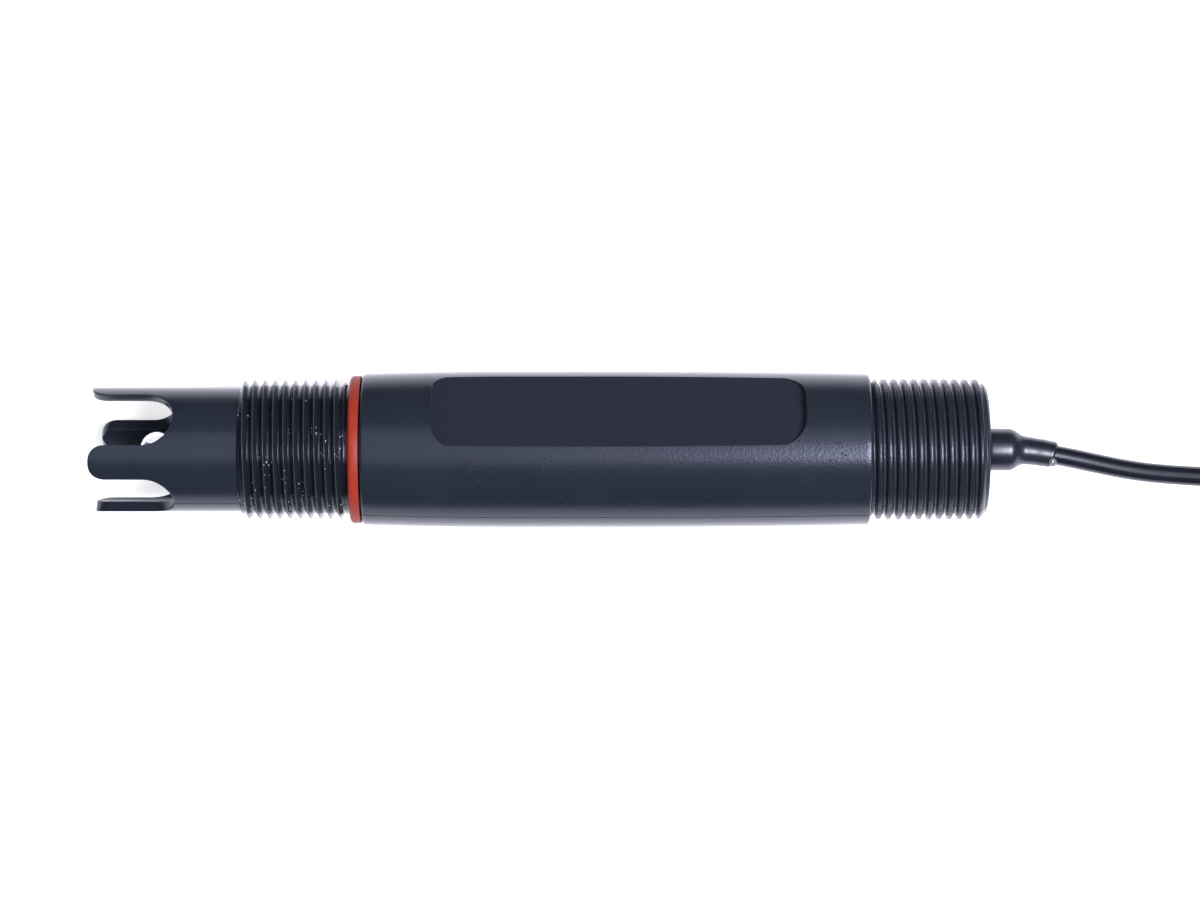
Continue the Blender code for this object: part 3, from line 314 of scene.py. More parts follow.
def linear(colour):
    """Red, green and blue as light, from an sRGB hex colour, with full opacity."""
    parts = np.array([int(colour[n : n + 2], 16) for n in (1, 3, 5)]) / 255
    light = np.where(parts <= 0.04045, parts / 12.92, ((parts + 0.055) / 1.055) ** 2.4)
    return (*light.tolist(), 1.0)


def node(tree, kind, inputs=None, out=0, **settings):
    """Add a node and give one of its outputs, by number or name: settings are the node's
    properties, and an input is a value or a socket to link. MapRange has the value at 0,
    its range at 1 and 2, and the result's at 3 and 4, which are 0 and 1 if left out. Mix
    has the second one's share at 0, two numbers at 2 and 3, and two colours at 6 and 7."""
    made = tree.nodes.new("ShaderNode" + kind)
    for name, value in settings.items():
        setattr(made, name, value)
    for name, value in (inputs or {}).items():
        if isinstance(value, bpy.types.NodeSocket):
            tree.links.new(value, made.inputs[name])
        else:
            made.inputs[name].default_value = value
    return made.outputs[out]


def new_material(name, **values):
    """A Principled material with constants on the shader's own sockets, its node tree, its
    shader and the object's coordinates."""
    made = bpy.data.materials.new(name)
    made.use_nodes = True
    tree = made.node_tree
    shader = tree.nodes["Principled BSDF"]
    for socket, value in values.items():
        shader.inputs[socket.replace("_", " ").title().replace("Ior", "IOR")].default_value = value
    return made, tree, shader, node(tree, "TexCoord", out="Object")


def grain(tree, shader, coords, size, depth, detail=3.0):
    """Fine relief: noise with bumps of that size and depth, as a bump on the shader."""
    noise = node(tree, "TexNoise", {"Vector": coords, "Scale": 1 / size, "Detail": detail})
    bump = node(tree, "Bump", {"Height": noise, "Strength": 1.0, "Distance": depth})
    tree.links.new(bump, shader.inputs["Normal"])


def mottled(tree, shader, coords, size, colours, roughness):
    """Slow changes of colour and roughness over patches of that size."""
    noise = node(tree, "TexNoise", {"Vector": coords, "Scale": 1 / size, "Detail": 4.0})
    share = node(tree, "MapRange", {0: noise, 1: 0.35, 2: 0.65})
    first, second = linear(colours[0]), linear(colours[1])
    colour = node(tree, "Mix", {0: share, 6: first, 7: second}, out=2, data_type="RGBA")
    tree.links.new(colour, shader.inputs["Base Color"])
    smoothest, roughest = roughness
    spread = node(tree, "MapRange", {0: share, 3: smoothest, 4: roughest})
    tree.links.new(spread, shader.inputs["Roughness"])


def lumps(tree, coords, size, share, spot):
    """Small spots on cells of that size: 1 in the middle of a few, by chance, and 0 round
    them. share is how many cells have one, spot its radius as a share of a cell."""
    away = node(tree, "TexVoronoi", {"Vector": coords, "Scale": 1 / size}, out="Distance")
    near = node(tree, "MapRange", {0: away, 1: spot, 2: spot * 0.5})
    chance = node(tree, "SeparateColor", {0: away.node.outputs["Color"]})
    chosen = node(tree, "Math", {0: chance, 1: share}, operation="LESS_THAN")
    return node(tree, "Math", {0: near, 1: chosen}, operation="MULTIPLY")


def between(tree, value, low, high, soft):
    """1 where a value's socket lies between low and high, and 0 outside, over a soft edge."""
    rise = node(tree, "MapRange", {0: value, 1: low - soft, 2: low})
    fall = node(tree, "MapRange", {0: value, 1: high, 2: high + soft, 3: 1.0, 4: 0.0})
    return node(tree, "Math", {0: rise, 1: fall}, operation="MULTIPLY")


def thread_colours_with_painted_light(tree, coords, front):
    """Where the threads' crests are, and the threads' colour by the distance from the axis,
    with light and shade painted in: flanks nearly black, crests paler as a painted highlight,
    most on the front thread, the front thread's roots darker as painted shade, and the rear
    thread's wide roots paler as painted light. front is 1 on the front thread."""
    off_axis = node(tree, "VectorMath", {0: coords, 1: (0.0, 0.0, AXIS_Z)}, operation="SUBTRACT")
    off_axis = node(tree, "VectorMath", {0: off_axis, 1: (0.0, 1.0, 1.0)}, operation="MULTIPLY")
    off_axis = node(tree, "VectorMath", {0: off_axis}, out="Value", operation="LENGTH")
    low, high = THREAD_MIDDLE_R + 0.3 * MM, THREAD_MIDDLE_R + 0.5 * MM
    crest = node(tree, "MapRange", {0: off_axis, 1: low, 2: high})
    low, high = THREAD_MIDDLE_R - 0.45 * MM, THREAD_MIDDLE_R - 0.25 * MM
    root = node(tree, "MapRange", {0: off_axis, 1: low, 2: high, 3: 1.0, 4: 0.0})
    # painted highlight: the crests paler than the plastic, most on the front thread
    painted_crest_highlight = {0: front, 6: linear("#1d2128"), 7: linear("#363b44")}
    painted_crest_highlight = node(tree, "Mix", painted_crest_highlight, out=2, data_type="RGBA")
    # painted light and shade in the roots: darker on the front thread, paler on the rear one
    root_painted_light_and_shade = {0: front, 6: linear("#2b2f38"), 7: linear("#15181d")}
    root_painted_light_and_shade = node(tree, "Mix", root_painted_light_and_shade, out=2, data_type="RGBA")
    colour = {0: crest, 6: linear("#1c2027"), 7: painted_crest_highlight}
    colour = node(tree, "Mix", colour, out=2, data_type="RGBA")
    colour = node(tree, "Mix", {0: root, 6: colour, 7: root_painted_light_and_shade}, out=2, data_type="RGBA")
    return crest, colour


def thread_dust(tree, coords, front, crest):
    """White dust and release wax between the front thread's crests: specks smeared round it
    in clots, and a few single flecks."""
    smeared = node(tree, "VectorMath", {0: coords, 1: (1.0, 0.6, 0.6)}, operation="MULTIPLY")
    clots = node(tree, "TexNoise", {"Vector": coords, "Scale": 1 / (3.5 * MM), "Detail": 1.0})
    clots = node(tree, "MapRange", {0: clots, 1: 0.6, 2: 0.66})
    specks = lumps(tree, smeared, size=0.42 * MM, share=0.35, spot=0.34)
    dust = node(tree, "Math", {0: specks, 1: clots}, operation="MULTIPLY")
    flecks = lumps(tree, coords, size=0.6 * MM, share=0.02, spot=0.3)
    dust = node(tree, "Math", {0: dust, 1: flecks}, operation="MAXIMUM")
    dust = node(tree, "Math", {0: dust, 1: front}, operation="MULTIPLY")
    return node(tree, "Math", {0: dust, 1: crest}, operation="SUBTRACT", use_clamp=True)


def barrel_nicks(tree, coords, threads):
    """Small dark nicks, lying in patches, on all but the threads."""
    patches = node(tree, "TexNoise", {"Vector": coords, "Scale": 1 / (8 * MM), "Detail": 2.0})
    patches = node(tree, "MapRange", {0: patches, 1: 0.6, 2: 0.66})
    nicks = lumps(tree, coords, size=0.9 * MM, share=0.5, spot=0.2)
    nicks = node(tree, "Math", {0: nicks, 1: patches}, operation="MULTIPLY")
    return node(tree, "Math", {0: nicks, 1: threads}, operation="SUBTRACT", use_clamp=True)


def parting_line(tree, coords):
    """The fine line where the mould's halves met, on the plane through the axis at
    PARTING_ANGLE: 1 where the distance from that plane is least."""
    across = (0.0, math.cos(PARTING_ANGLE), -math.sin(PARTING_ANGLE))
    away = node(tree, "VectorMath", {0: coords, 1: across}, out="Value", operation="DOT_PRODUCT")
    away = node(tree, "Math", {0: away, 1: AXIS_Z * across[2]}, operation="SUBTRACT")
    away = node(tree, "Math", {0: away}, operation="ABSOLUTE")
    return node(tree, "MapRange", {0: away, 1: 0.05 * MM, 2: 0.14 * MM, 3: 1.0, 4: 0.0})


def housing_plastic():
    """Injection-moulded dark engineering plastic, from a finely eroded steel mould: the
    satin grain spreads a softbox into a grey band with a blue cast. The grain is drawn at
    0.5 mm, coarser than the real one, which is too fine to show, and weaker towards the
    guard, where handling has worn it. The threads came from polished inserts; the front
    thread is drawn glossier, and the wrench flats are duller."""
    made, tree, shader, coords = new_material(
        "moulded_housing_plastic", specular_ior_level=0.28, specular_tint=(0.74, 0.77, 1.0, 1.0)
    )
    along = node(tree, "SeparateXYZ", {0: coords}, out="X")
    front = between(
        tree, along, SLEEVE_END - HALF_LENGTH, THREAD_END - HALF_LENGTH, soft=0.1 * MM
    )
    step = BARREL_END - HALF_LENGTH
    rear = node(tree, "MapRange", {0: along, 1: step, 2: step + 0.1 * MM})
    threads = node(tree, "Math", {0: front, 1: rear}, operation="MAXIMUM")
    flat = node(tree, "Attribute", out="Fac", attribute_name="wrench_flat")
    drift = node(tree, "TexNoise", {"Vector": coords, "Scale": 1 / (11 * MM), "Detail": 1.0})
    # the threads' colour has a painted highlight on the crests and painted light and shade in the
    # roots
    crest, thread = thread_colours_with_painted_light(tree, coords, front)
    dust = thread_dust(tree, coords, front, crest)
    nicks = barrel_nicks(tree, coords, threads)
    seam = parting_line(tree, coords)
    faint = node(tree, "Math", {0: seam, 1: 0.9}, operation="MULTIPLY")

    colour = {0: drift, 6: linear("#1b212a"), 7: linear("#21262f")}
    colour = node(tree, "Mix", colour, out=2, data_type="RGBA")
    layers = [
        # thread: colour with painted highlight on crests and painted light and shade in roots
        (threads, thread),
        (flat, linear("#21262e")),
        (dust, linear("#bcc0ca")),
        (nicks, linear("#101217")),
        (faint, linear("#0c0e12")),
    ]
    for share, over in layers:
        colour = node(tree, "Mix", {0: share, 6: colour, 7: over}, out=2, data_type="RGBA")
    tree.links.new(colour, shader.inputs["Base Color"])

    satin = node(tree, "MapRange", {0: drift, 3: 0.22, 4: 0.265})
    torn = node(tree, "Math", {0: seam, 1: nicks}, operation="MAXIMUM")
    for share, roughness in ((front, 0.14), (flat, 0.34), (torn, 0.85)):
        satin = node(tree, "Mix", {0: share, 2: satin, 3: roughness})
    tree.links.new(satin, shader.inputs["Roughness"])

    # heights in millimetres
    fine = node(tree, "TexNoise", {"Vector": coords, "Scale": 1 / (0.5 * MM), "Detail": 2.0})
    worn = node(tree, "MapRange", {0: along, 1: -60 * MM, 2: 15 * MM, 3: 0.25, 4: 1.0})
    fine = node(tree, "Math", {0: fine, 1: worn}, operation="MULTIPLY")
    grit = node(tree, "TexNoise", {"Vector": coords, "Scale": 1 / (0.4 * MM), "Detail": 2.0})
    grit = node(tree, "Math", {0: grit, 1: threads}, operation="MULTIPLY")
    relief = node(tree, "Math", {0: fine, 1: 0.025}, operation="MULTIPLY")
    for form, height in ((grit, 0.03), (seam, -0.03), (nicks, -0.08), (dust, 0.05)):
        relief = node(tree, "Math", {0: form, 1: height, 2: relief}, operation="MULTIPLY_ADD")
    bump = node(tree, "Bump", {"Height": relief, "Distance": 1.0 * MM})
    tree.links.new(bump, shader.inputs["Normal"])
    return made


def plain(name, colours, size, roughness, bump_size, bump_depth, **values):
    """A material of one stuff: mottled colour and roughness, and a fine relief, which is
    drawn some tenths of a millimetre coarse where the real one is too fine to show."""
    made, tree, shader, coords = new_material(name, **values)
    mottled(tree, shader, coords, size, colours, roughness)
    grain(tree, shader, coords, bump_size, bump_depth)
    return made


def blown_glass():
    """Blown lithium glass: clear and thin, it greys at its edge where the eye looks along
    the wall, and takes a faint violet from what is behind."""
    made, tree, shader, coords = new_material(
        "blown_membrane_glass", ior=1.5, transmission_weight=1.0
    )
    colours = ("#fcfcff", "#f8f8fd")
    mottled(tree, shader, coords, size=3 * MM, colours=colours, roughness=(0.02, 0.05))
    grain(tree, shader, coords, size=1.5 * MM, depth=0.01 * MM, detail=1.0)
    return made


# Housing

def crown_radius(station):
    """Radius of the barrel: level round CROWN_PEAK, then less by the square of the way on
    to either end."""
    off = np.maximum(0, np.abs(station - CROWN_PEAK) - CROWN_FLAT / 2)
    end = np.where(station < CROWN_PEAK, BARREL_START, BARREL_END)
    reach = np.abs(end - CROWN_PEAK) - CROWN_FLAT / 2
    return BARREL_R - BARREL_CROWN * (off / reach) ** 2


def guard_columns(radius, half):
    """Angles of the guard's columns at a radius, for slots of that half width: in a slot
    its centre plus the arc sine of sin g times half over the radius, g even; across a
    prong even steps."""
    reach = math.asin(half / radius)
    across = np.sin(np.linspace(-math.pi / 2, math.pi / 2, SLOT_COLUMNS + 1)[:-1])
    slot = SLOT_ANGLE + np.arcsin(across * half / radius)
    share = np.linspace(0, 1, PRONG_COLUMNS + 1)[:-1]
    prong = SLOT_ANGLE + reach + (math.pi / 2 - 2 * reach) * share
    quarter = np.concatenate([slot, prong])
    angles = np.concatenate([quarter + n * math.pi / 2 for n in range(4)])
    return np.append(angles, angles[0] + 2 * math.pi)


def prong_tip(radius, offset):
    """Stations and angles over a prong's end, from its side to its middle and back: a
    quarter ellipse in from the slot's side, cut off where the prong's middle comes first."""
    half = SLOT_HALF + offset
    inset = TIP_INSET - offset
    middle = radius * math.sin(math.pi / 4)
    meet = (half + inset - middle) / inset
    last = math.acos(max(0.0, meet))
    turn = last * np.linspace(0, 1, PRONG_COLUMNS // 2)
    station = TIP_LENGTH - (TIP_LENGTH - offset) * np.sin(turn)
    angle = np.arcsin((half + inset - inset * np.cos(turn)) / radius)
    station = np.append(station, station[-1])
    angle = np.append(angle, math.pi / 4)
    station = np.concatenate([station, station[-2::-1]])
    angle = np.concatenate([angle, math.pi / 2 - angle[-2::-1]])
    return station, SLOT_ANGLE + angle


def slot_end(offset):
    """Stations along the round end of a slot, one for each of its columns."""
    turn = np.linspace(-math.pi / 2, math.pi / 2, SLOT_COLUMNS + 1)
    return SLOT_DEPTH - SLOT_HALF + (SLOT_HALF + offset) * np.cos(turn)


def slot_rim(radius, offset, straight):
    """One line round the guard's whole front border: each slot's round end, its straight
    side, the prong's end and the next straight side; as stations and angles."""
    half = SLOT_HALF + offset
    columns = guard_columns(radius, half)
    centre = SLOT_DEPTH - SLOT_HALF
    down = np.linspace(centre, TIP_LENGTH, straight + 1)
    tip_station, tip_angle = prong_tip(radius, offset)
    end_station = slot_end(offset)
    stations, angles = [], []
    for n in range(4):
        first = n * (SLOT_COLUMNS + PRONG_COLUMNS)
        side = columns[first + SLOT_COLUMNS]
        following = columns[first + SLOT_COLUMNS + PRONG_COLUMNS]
        turn = n * math.pi / 2
        stations += [end_station, down[1:], tip_station[1:], down[::-1][1:-1]]
        angles += [
            columns[first : first + SLOT_COLUMNS + 1],
            np.full(straight, side),
            tip_angle[1:] + turn,
            np.full(straight - 1, following),
        ]
    stations = np.concatenate(stations)
    angles = np.concatenate(angles)
    return np.append(stations, stations[0]), np.append(angles, angles[0] + 2 * math.pi)


def guard_skin(radius, back, rows, straight):
    """The guard's skin at one radius: prongs from their ends to the slots' round ends, then
    all columns on to the back, with each point between the first and last of its column."""
    half = SLOT_HALF + GUARD_FILLET
    columns = guard_columns(radius, half)
    centre = SLOT_DEPTH - SLOT_HALF
    tip_station, tip_angle = prong_tip(radius, GUARD_FILLET)
    share = np.linspace(0, 1, straight + 1)[:, None]
    patches = []
    for n in range(4):
        first = n * (SLOT_COLUMNS + PRONG_COLUMNS) + SLOT_COLUMNS
        base = columns[first : first + PRONG_COLUMNS + 1]
        station = tip_station + (centre - tip_station) * share
        angle = (tip_angle + n * math.pi / 2) * (1 - share) + base * share
        patches.append(place(station, angle, radius))
    front = np.full(len(columns), centre)
    for n in range(4):
        first = n * (SLOT_COLUMNS + PRONG_COLUMNS)
        front[first : first + SLOT_COLUMNS + 1] = slot_end(GUARD_FILLET)
    share = np.linspace(0, 1, rows + 1)[:, None]
    patches.append(place(front + (back - front) * share, columns[None, :], radius))
    return patches


def guard_patches():
    """The guard inside and out, with a round edge on both sides of the slots' walls."""
    straight = 10
    turn = np.linspace(0, math.pi / 2, 5)
    offset = GUARD_FILLET * (1 - np.sin(turn))
    inset = GUARD_FILLET * (1 - np.cos(turn))
    section = list(zip(offset, SLEEVE_R - inset))
    section += list(zip(offset[::-1], GUARD_BORE_R + inset[::-1]))
    rim = [place(*slot_rim(radius, offset, straight), radius) for offset, radius in section]
    patches = [np.stack(rim)]
    patches += guard_skin(SLEEVE_R, GUARD_BLEND, 10, straight)
    patches += guard_skin(GUARD_BORE_R, GUARD_DEPTH, 6, straight)
    return patches


def even_angles():
    """Angles of columns spread evenly, of which one lies on the first flat's middle."""
    step = 2 * math.pi / COLUMNS
    return FLAT_ANGLE - step * FLAT_COLUMNS / 2 + step * np.arange(COLUMNS + 1)


def thread_rows(start, end, crest, root_r, ridge, low, rise, high, angles):
    """Stations and radii of a right-handed thread between two stations.

    Row n follows the helix: its station is its own place on the ridge plus a whole number
    of pitches plus the pitch times (180 degrees less the angle) over a turn, kept between
    start and end. The radius comes from the ridge's shape at that place, and stays under
    two lead-in cones: one goes up by rise for each length on from low above the root, the
    other one for one back from the end, from high above it."""
    half = np.array(ridge) * MM
    shape = np.concatenate([half[:0:-1] * [-1, 1], half])
    crown = np.linspace(shape[-1, 0], PITCH + shape[0, 0], 3)[1:-1]
    across = np.concatenate([shape[:, 0], crown])
    tall = np.concatenate([shape[:, 1], np.zeros(len(crown))])
    turns = np.arange(-3, math.ceil((end - crest) / PITCH) + 3)
    along = (turns[:, None] * PITCH + across).reshape(-1, 1)
    helix = crest + PITCH * (math.pi - angles) / (2 * math.pi)
    station = np.clip(along + helix, start, end)
    phase = (station - helix - shape[0, 0]) % PITCH
    height = np.interp(phase, across - shape[0, 0], tall, period=PITCH)
    height = np.minimum(height, low + rise * (station - start))
    height = np.minimum(height, high + end - station)
    return station, root_r + height


def barrel_angles(radius, height):
    """Angles of the barrel's columns, for the round surface's radius and the height along
    a flat's normal at each: across a flat the arc tangent of even steps of its half width
    over the height, with close ones inside each long edge, and even steps in the gaps
    between the flats with close ones likewise."""
    half = np.sqrt(radius**2 - FLAT_R**2)
    gap_columns = COLUMNS // 2 - FLAT_COLUMNS
    middle_share = np.linspace(0.032, 0.968, gap_columns - 5)
    share = np.concatenate([[0, 0.005, 0.014], middle_share, [0.986, 0.995]])
    angles = []
    for side in range(2):
        first = side * COLUMNS // 2
        flat = slice(first, first + FLAT_COLUMNS)
        gap = slice(first + FLAT_COLUMNS, first + COLUMNS // 2)
        middle = FLAT_ANGLE + side * math.pi
        angles.append(middle + np.arctan2(flat_reach()[flat] * half[flat], height[flat]))
        edge = np.arcsin(half[gap] / radius[gap])
        angles.append(middle + edge + (math.pi - 2 * edge) * share)
    angles = np.concatenate(angles)
    return np.append(angles, angles[0] + 2 * math.pi)


def flat_reach():
    """For each column of the barrel, its share of a flat's half width: 1 in the gaps."""
    across = np.concatenate([[-1, -0.988], np.linspace(-0.965, 0.965, FLAT_COLUMNS - 3), [0.988]])
    half_turn = np.concatenate([across, np.ones(COLUMNS // 2 - FLAT_COLUMNS)])
    return np.append(np.tile(half_turn, 2), -1.0)


def barrel_rows():
    """Stations, angles and radii of the barrel between its two end faces.

    A flat is the plane at FLAT_R from the axis, in a rounded rectangle; a column meets its
    end wall at a station that depends on how far across it is. A wall is a row at its top,
    one at its foot, and small round edges at both."""
    reach = np.abs(flat_reach())
    nominal = math.sqrt(crown_radius(np.array(FLAT_FRONT)) ** 2 - FLAT_R**2)

    def end_of(corner):
        """How far a corner of that radius sets each column's end wall back."""
        into = np.maximum(0, reach * nominal - (FLAT_HALF_WIDTH - corner))
        return corner - np.sqrt(corner**2 - into**2)

    front = FLAT_FRONT + end_of(FLAT_FRONT_CORNER)
    rear = FLAT_REAR - end_of(FLAT_REAR_CORNER)
    stations, angles, radii = [], [], []

    def add_row(station, share=1.0, drop=0.0):
        """share 0 is the flat's plane, 1 the round surface over it; drop is below both."""
        radius = crown_radius(station)
        half = np.sqrt(radius**2 - FLAT_R**2) * reach
        top = np.sqrt(radius**2 - half**2)
        height = FLAT_R + (top - FLAT_R) * share
        stations.append(station)
        angles.append(barrel_angles(radius, height))
        radii.append(np.where(reach < 1, np.hypot(height, half), radius) - drop)

    for turn in np.linspace(0, math.pi / 2, 6):
        station = BARREL_START + BARREL_FRONT_EDGE * (1 - math.cos(turn)) + 0 * reach
        add_row(station, drop=BARREL_FRONT_EDGE * (1 - math.sin(turn)))
    share = np.array([0.04, 0.15, 0.35, 0.55, 0.75, 0.9, 0.98])
    begin = BARREL_START + BARREL_FRONT_EDGE
    for part in share:
        add_row(begin + (front - begin) * part)
    wall = np.sqrt(crown_radius(front) ** 2 - (reach * nominal) ** 2) - FLAT_R
    edge = np.clip(wall * 0.45, 0, FLAT_EDGE)
    ratio = edge / np.maximum(wall, 1e-9)
    for turn in np.linspace(0, math.pi / 2, 4):
        add_row(front - edge * (1 - math.sin(turn)), 1 - ratio * (1 - math.cos(turn)))
    for turn in np.linspace(0, math.pi / 2, 4):
        add_row(front + edge * (1 - math.cos(turn)), ratio * (1 - math.sin(turn)))
    for part in np.concatenate([[0.006], np.linspace(0.03, 0.97, 22), [0.994]]):
        add_row(front + edge + (rear - front - 2 * edge) * part, 0.0)
    for turn in np.linspace(math.pi / 2, 0, 4):
        add_row(rear - edge * (1 - math.cos(turn)), ratio * (1 - math.sin(turn)))
    for turn in np.linspace(math.pi / 2, 0, 4):
        add_row(rear + edge * (1 - math.sin(turn)), 1 - ratio * (1 - math.cos(turn)))
    last = BARREL_END - BARREL_REAR_EDGE
    for part in [0.02, 0.1, 0.3, 0.55, 0.8, 0.95]:
        add_row(rear + (last - rear) * part)
    for turn in np.linspace(0, math.pi / 2, 9):
        station = BARREL_END - BARREL_REAR_EDGE * (1 - math.sin(turn)) + 0 * reach
        add_row(station, drop=BARREL_REAR_DROP * (1 - math.cos(turn)))
    return np.array(stations), np.array(angles), np.array(radii)


def make_housing():
    """The housing's one moulding as one closed skin, threads and flats included."""
    even = even_angles()
    blended = guard_columns(SLEEVE_R, SLOT_HALF + GUARD_FILLET)
    share = np.linspace(0, 1, 7)[:, None]
    eased = share**2 * (3 - 2 * share)
    station = GUARD_BLEND + (SLEEVE_END - GUARD_BLEND) * share
    sleeve = place(station, blended + (even - blended) * eased, SLEEVE_R)
    station, radius = thread_rows(
        SLEEVE_END, THREAD_END, FRONT_CREST, FRONT_ROOT_R, FRONT_RIDGE, *FRONT_LEAD_IN, even
    )
    front_thread = place(station, even, radius)
    neck = place(np.array([[THREAD_END], [BARREL_START - 0.1 * MM], [BARREL_START]]), even, NECK_R)
    barrel = place(*barrel_rows())
    station, radius = thread_rows(
        BARREL_END, TOTAL_LENGTH, REAR_CREST, REAR_ROOT_R, REAR_RIDGE, *REAR_LEAD_IN, even
    )
    rear_thread = place(station, even, radius)
    inner = [
        (TOTAL_LENGTH, POTTING_BORE_R),
        (POTTING_STATION, POTTING_BORE_R),
        (POTTING_STATION, MAIN_BORE_R),
        (WEB_END, MAIN_BORE_R),
        (WEB_END, WEB_BORE_R),
        (GUARD_DEPTH, WEB_BORE_R),
    ]
    bore = np.stack([place(s, even, r) for s, r in inner])
    seat = place(GUARD_DEPTH, guard_columns(GUARD_BORE_R, SLOT_HALF + GUARD_FILLET), GUARD_BORE_R)
    skin = np.concatenate([sleeve, front_thread, neck, barrel, rear_thread, bore, seat[None]])
    made = surface("moulded_housing", guard_patches() + [skin], housing_plastic(), 60)
    mark_flats(made.data)
    return stands_for(made, BODY, "housing")


def mark_flats(data):
    """Write the attribute wrench_flat: 1 at the points that lie in a flat's plane, else 0."""
    points = np.zeros(len(data.vertices) * 3)
    data.vertices.foreach_get("co", points)
    x, y, z = points.reshape(-1, 3).T
    height = np.abs(y * math.sin(FLAT_ANGLE) + (z - AXIS_Z) * math.cos(FLAT_ANGLE))
    inside = (x > FLAT_FRONT - HALF_LENGTH) & (x < FLAT_REAR - HALF_LENGTH)
    share = (inside & (np.abs(height - FLAT_R) < 0.001 * MM)).astype(float)
    layer = data.attributes.new("wrench_flat", "FLOAT", "POINT")
    layer.data.foreach_set("value", share)


# Seal ring, glass and lead

def arc(centre, radius, first, last, count):
    """(station, radius) points on a circle round a station on the axis, from one angle to
    another, each counted from the rear; the point on the axis has radius 0."""
    turn = np.linspace(first, last, count)
    points = np.stack([centre + radius * np.cos(turn), radius * np.sin(turn)], axis=1)
    points[np.abs(points[:, 1]) < 1e-9, 1] = 0.0
    return points.tolist()


def make_seal_ring():
    """Moulded silicone seal ring: flat outside, with a round front edge, so a bow of light
    lies along it. Silicone is soft to the light and keeps its colour at the rim."""
    # millimetres
    rear, front, inner, outer, edge = 48.0, 46.1, 11.65, 13.25, 0.7
    section = [(rear, outer - 0.2), (rear - 0.06, outer - 0.07), (rear - 0.2, outer)]
    for turn in np.linspace(math.pi / 2, math.pi, 8):
        rounded = (front + edge + edge * math.cos(turn), outer - edge + edge * math.sin(turn))
        section.append(rounded)
    section += [(front, inner + 0.15), (front + 0.15, inner), (rear - 0.15, inner)]
    section.append((rear, inner + 0.15))
    finish = plain(
        "moulded_red_silicone", ("#8a2b1d", "#923021"), size=4 * MM, roughness=(0.4, 0.5),
        bump_size=0.12 * MM, bump_depth=0.004 * MM, specular_ior_level=0.15,
    )
    made = turned("silicone_seal_ring", np.array(section) * MM, finish, sides=160)
    return stands_for(made, BODY, "seal_ring")


def make_glass():
    """Bulb and stem blown from one tube: the bulb's wall is thinner, and it draws in to the
    stem through a short waist."""
    # millimetres
    centre, bulb, stem, rear = 11.2, 3.17, 2.6, 109.2
    wall_bulb, wall_stem, lip = 0.45, 0.7, 0.2
    hollow, bore = bulb - wall_bulb, stem - wall_stem
    outer = arc(centre, bulb, math.pi, math.asin(stem / bulb) + 0.12, 30)
    outer += [(centre + 2.9, stem + 0.02), (centre + 4.2, stem)]
    outer += [(rear - lip, stem), (rear, stem - lip)]
    inner = [(rear, bore + lip), (rear - lip, bore)]
    inner += [(centre + 4.2, bore), (centre + 3.0, bore + 0.02)]
    inner += arc(centre, hollow, math.asin(bore / hollow) + 0.12, math.pi, 24)
    profile = np.array(outer + inner) * MM
    made = turned("blown_glass_electrode", profile, blown_glass(), closed=False)
    return stands_for(made, BODY, "glass_electrode")


def make_solution():
    """Buffer solution in the bulb and the first part of the stem: a ball and a column, a
    hair inside the glass. It bends light as a lens does, so the bulb shows the pale floor."""
    # millimetres
    centre, ball, column, level, edge = 11.2, 2.7, 1.88, 50.0, 0.2
    section = arc(centre, ball, math.pi, math.asin(column / ball) + 0.08, 28)
    section += [(centre + 3.2, column), (level - edge, column), (level, column - edge)]
    section.append((level, 0.0))
    made, tree, shader, coords = new_material(
        "clear_buffer_solution", ior=1.34, transmission_weight=1.0
    )
    colours = ("#f1f1f8", "#eeeef5")
    mottled(tree, shader, coords, size=3 * MM, colours=colours, roughness=(0.0, 0.01))
    liquid = turned("buffer_solution", np.array(section) * MM, made, closed=False)
    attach(liquid, BODY)
    return liquid


def lead_line():
    """The lead from its cut end in the potting, out of the housing, on to the hank, twelve
    times round it, and in to the plug, as one evenly spaced line."""
    inside = [CABLE_INSIDE * share for share in (1.0, 0.75, 0.5, 0.25, 0.0)]
    way = [(HALF_LENGTH - depth, 0.0, AXIS_Z) for depth in inside]
    way += [(HALF_LENGTH + x * MM, y * MM, AXIS_Z + z * MM) for x, y, z in LEAD_ROUTE]
    way += hank_line().tolist()
    way += [(PLUG_X - x * MM, y * MM, PLUG_Z + z * MM) for x, y, z in TAIL_ROUTE]
    return spline(way, 1.0 * MM)


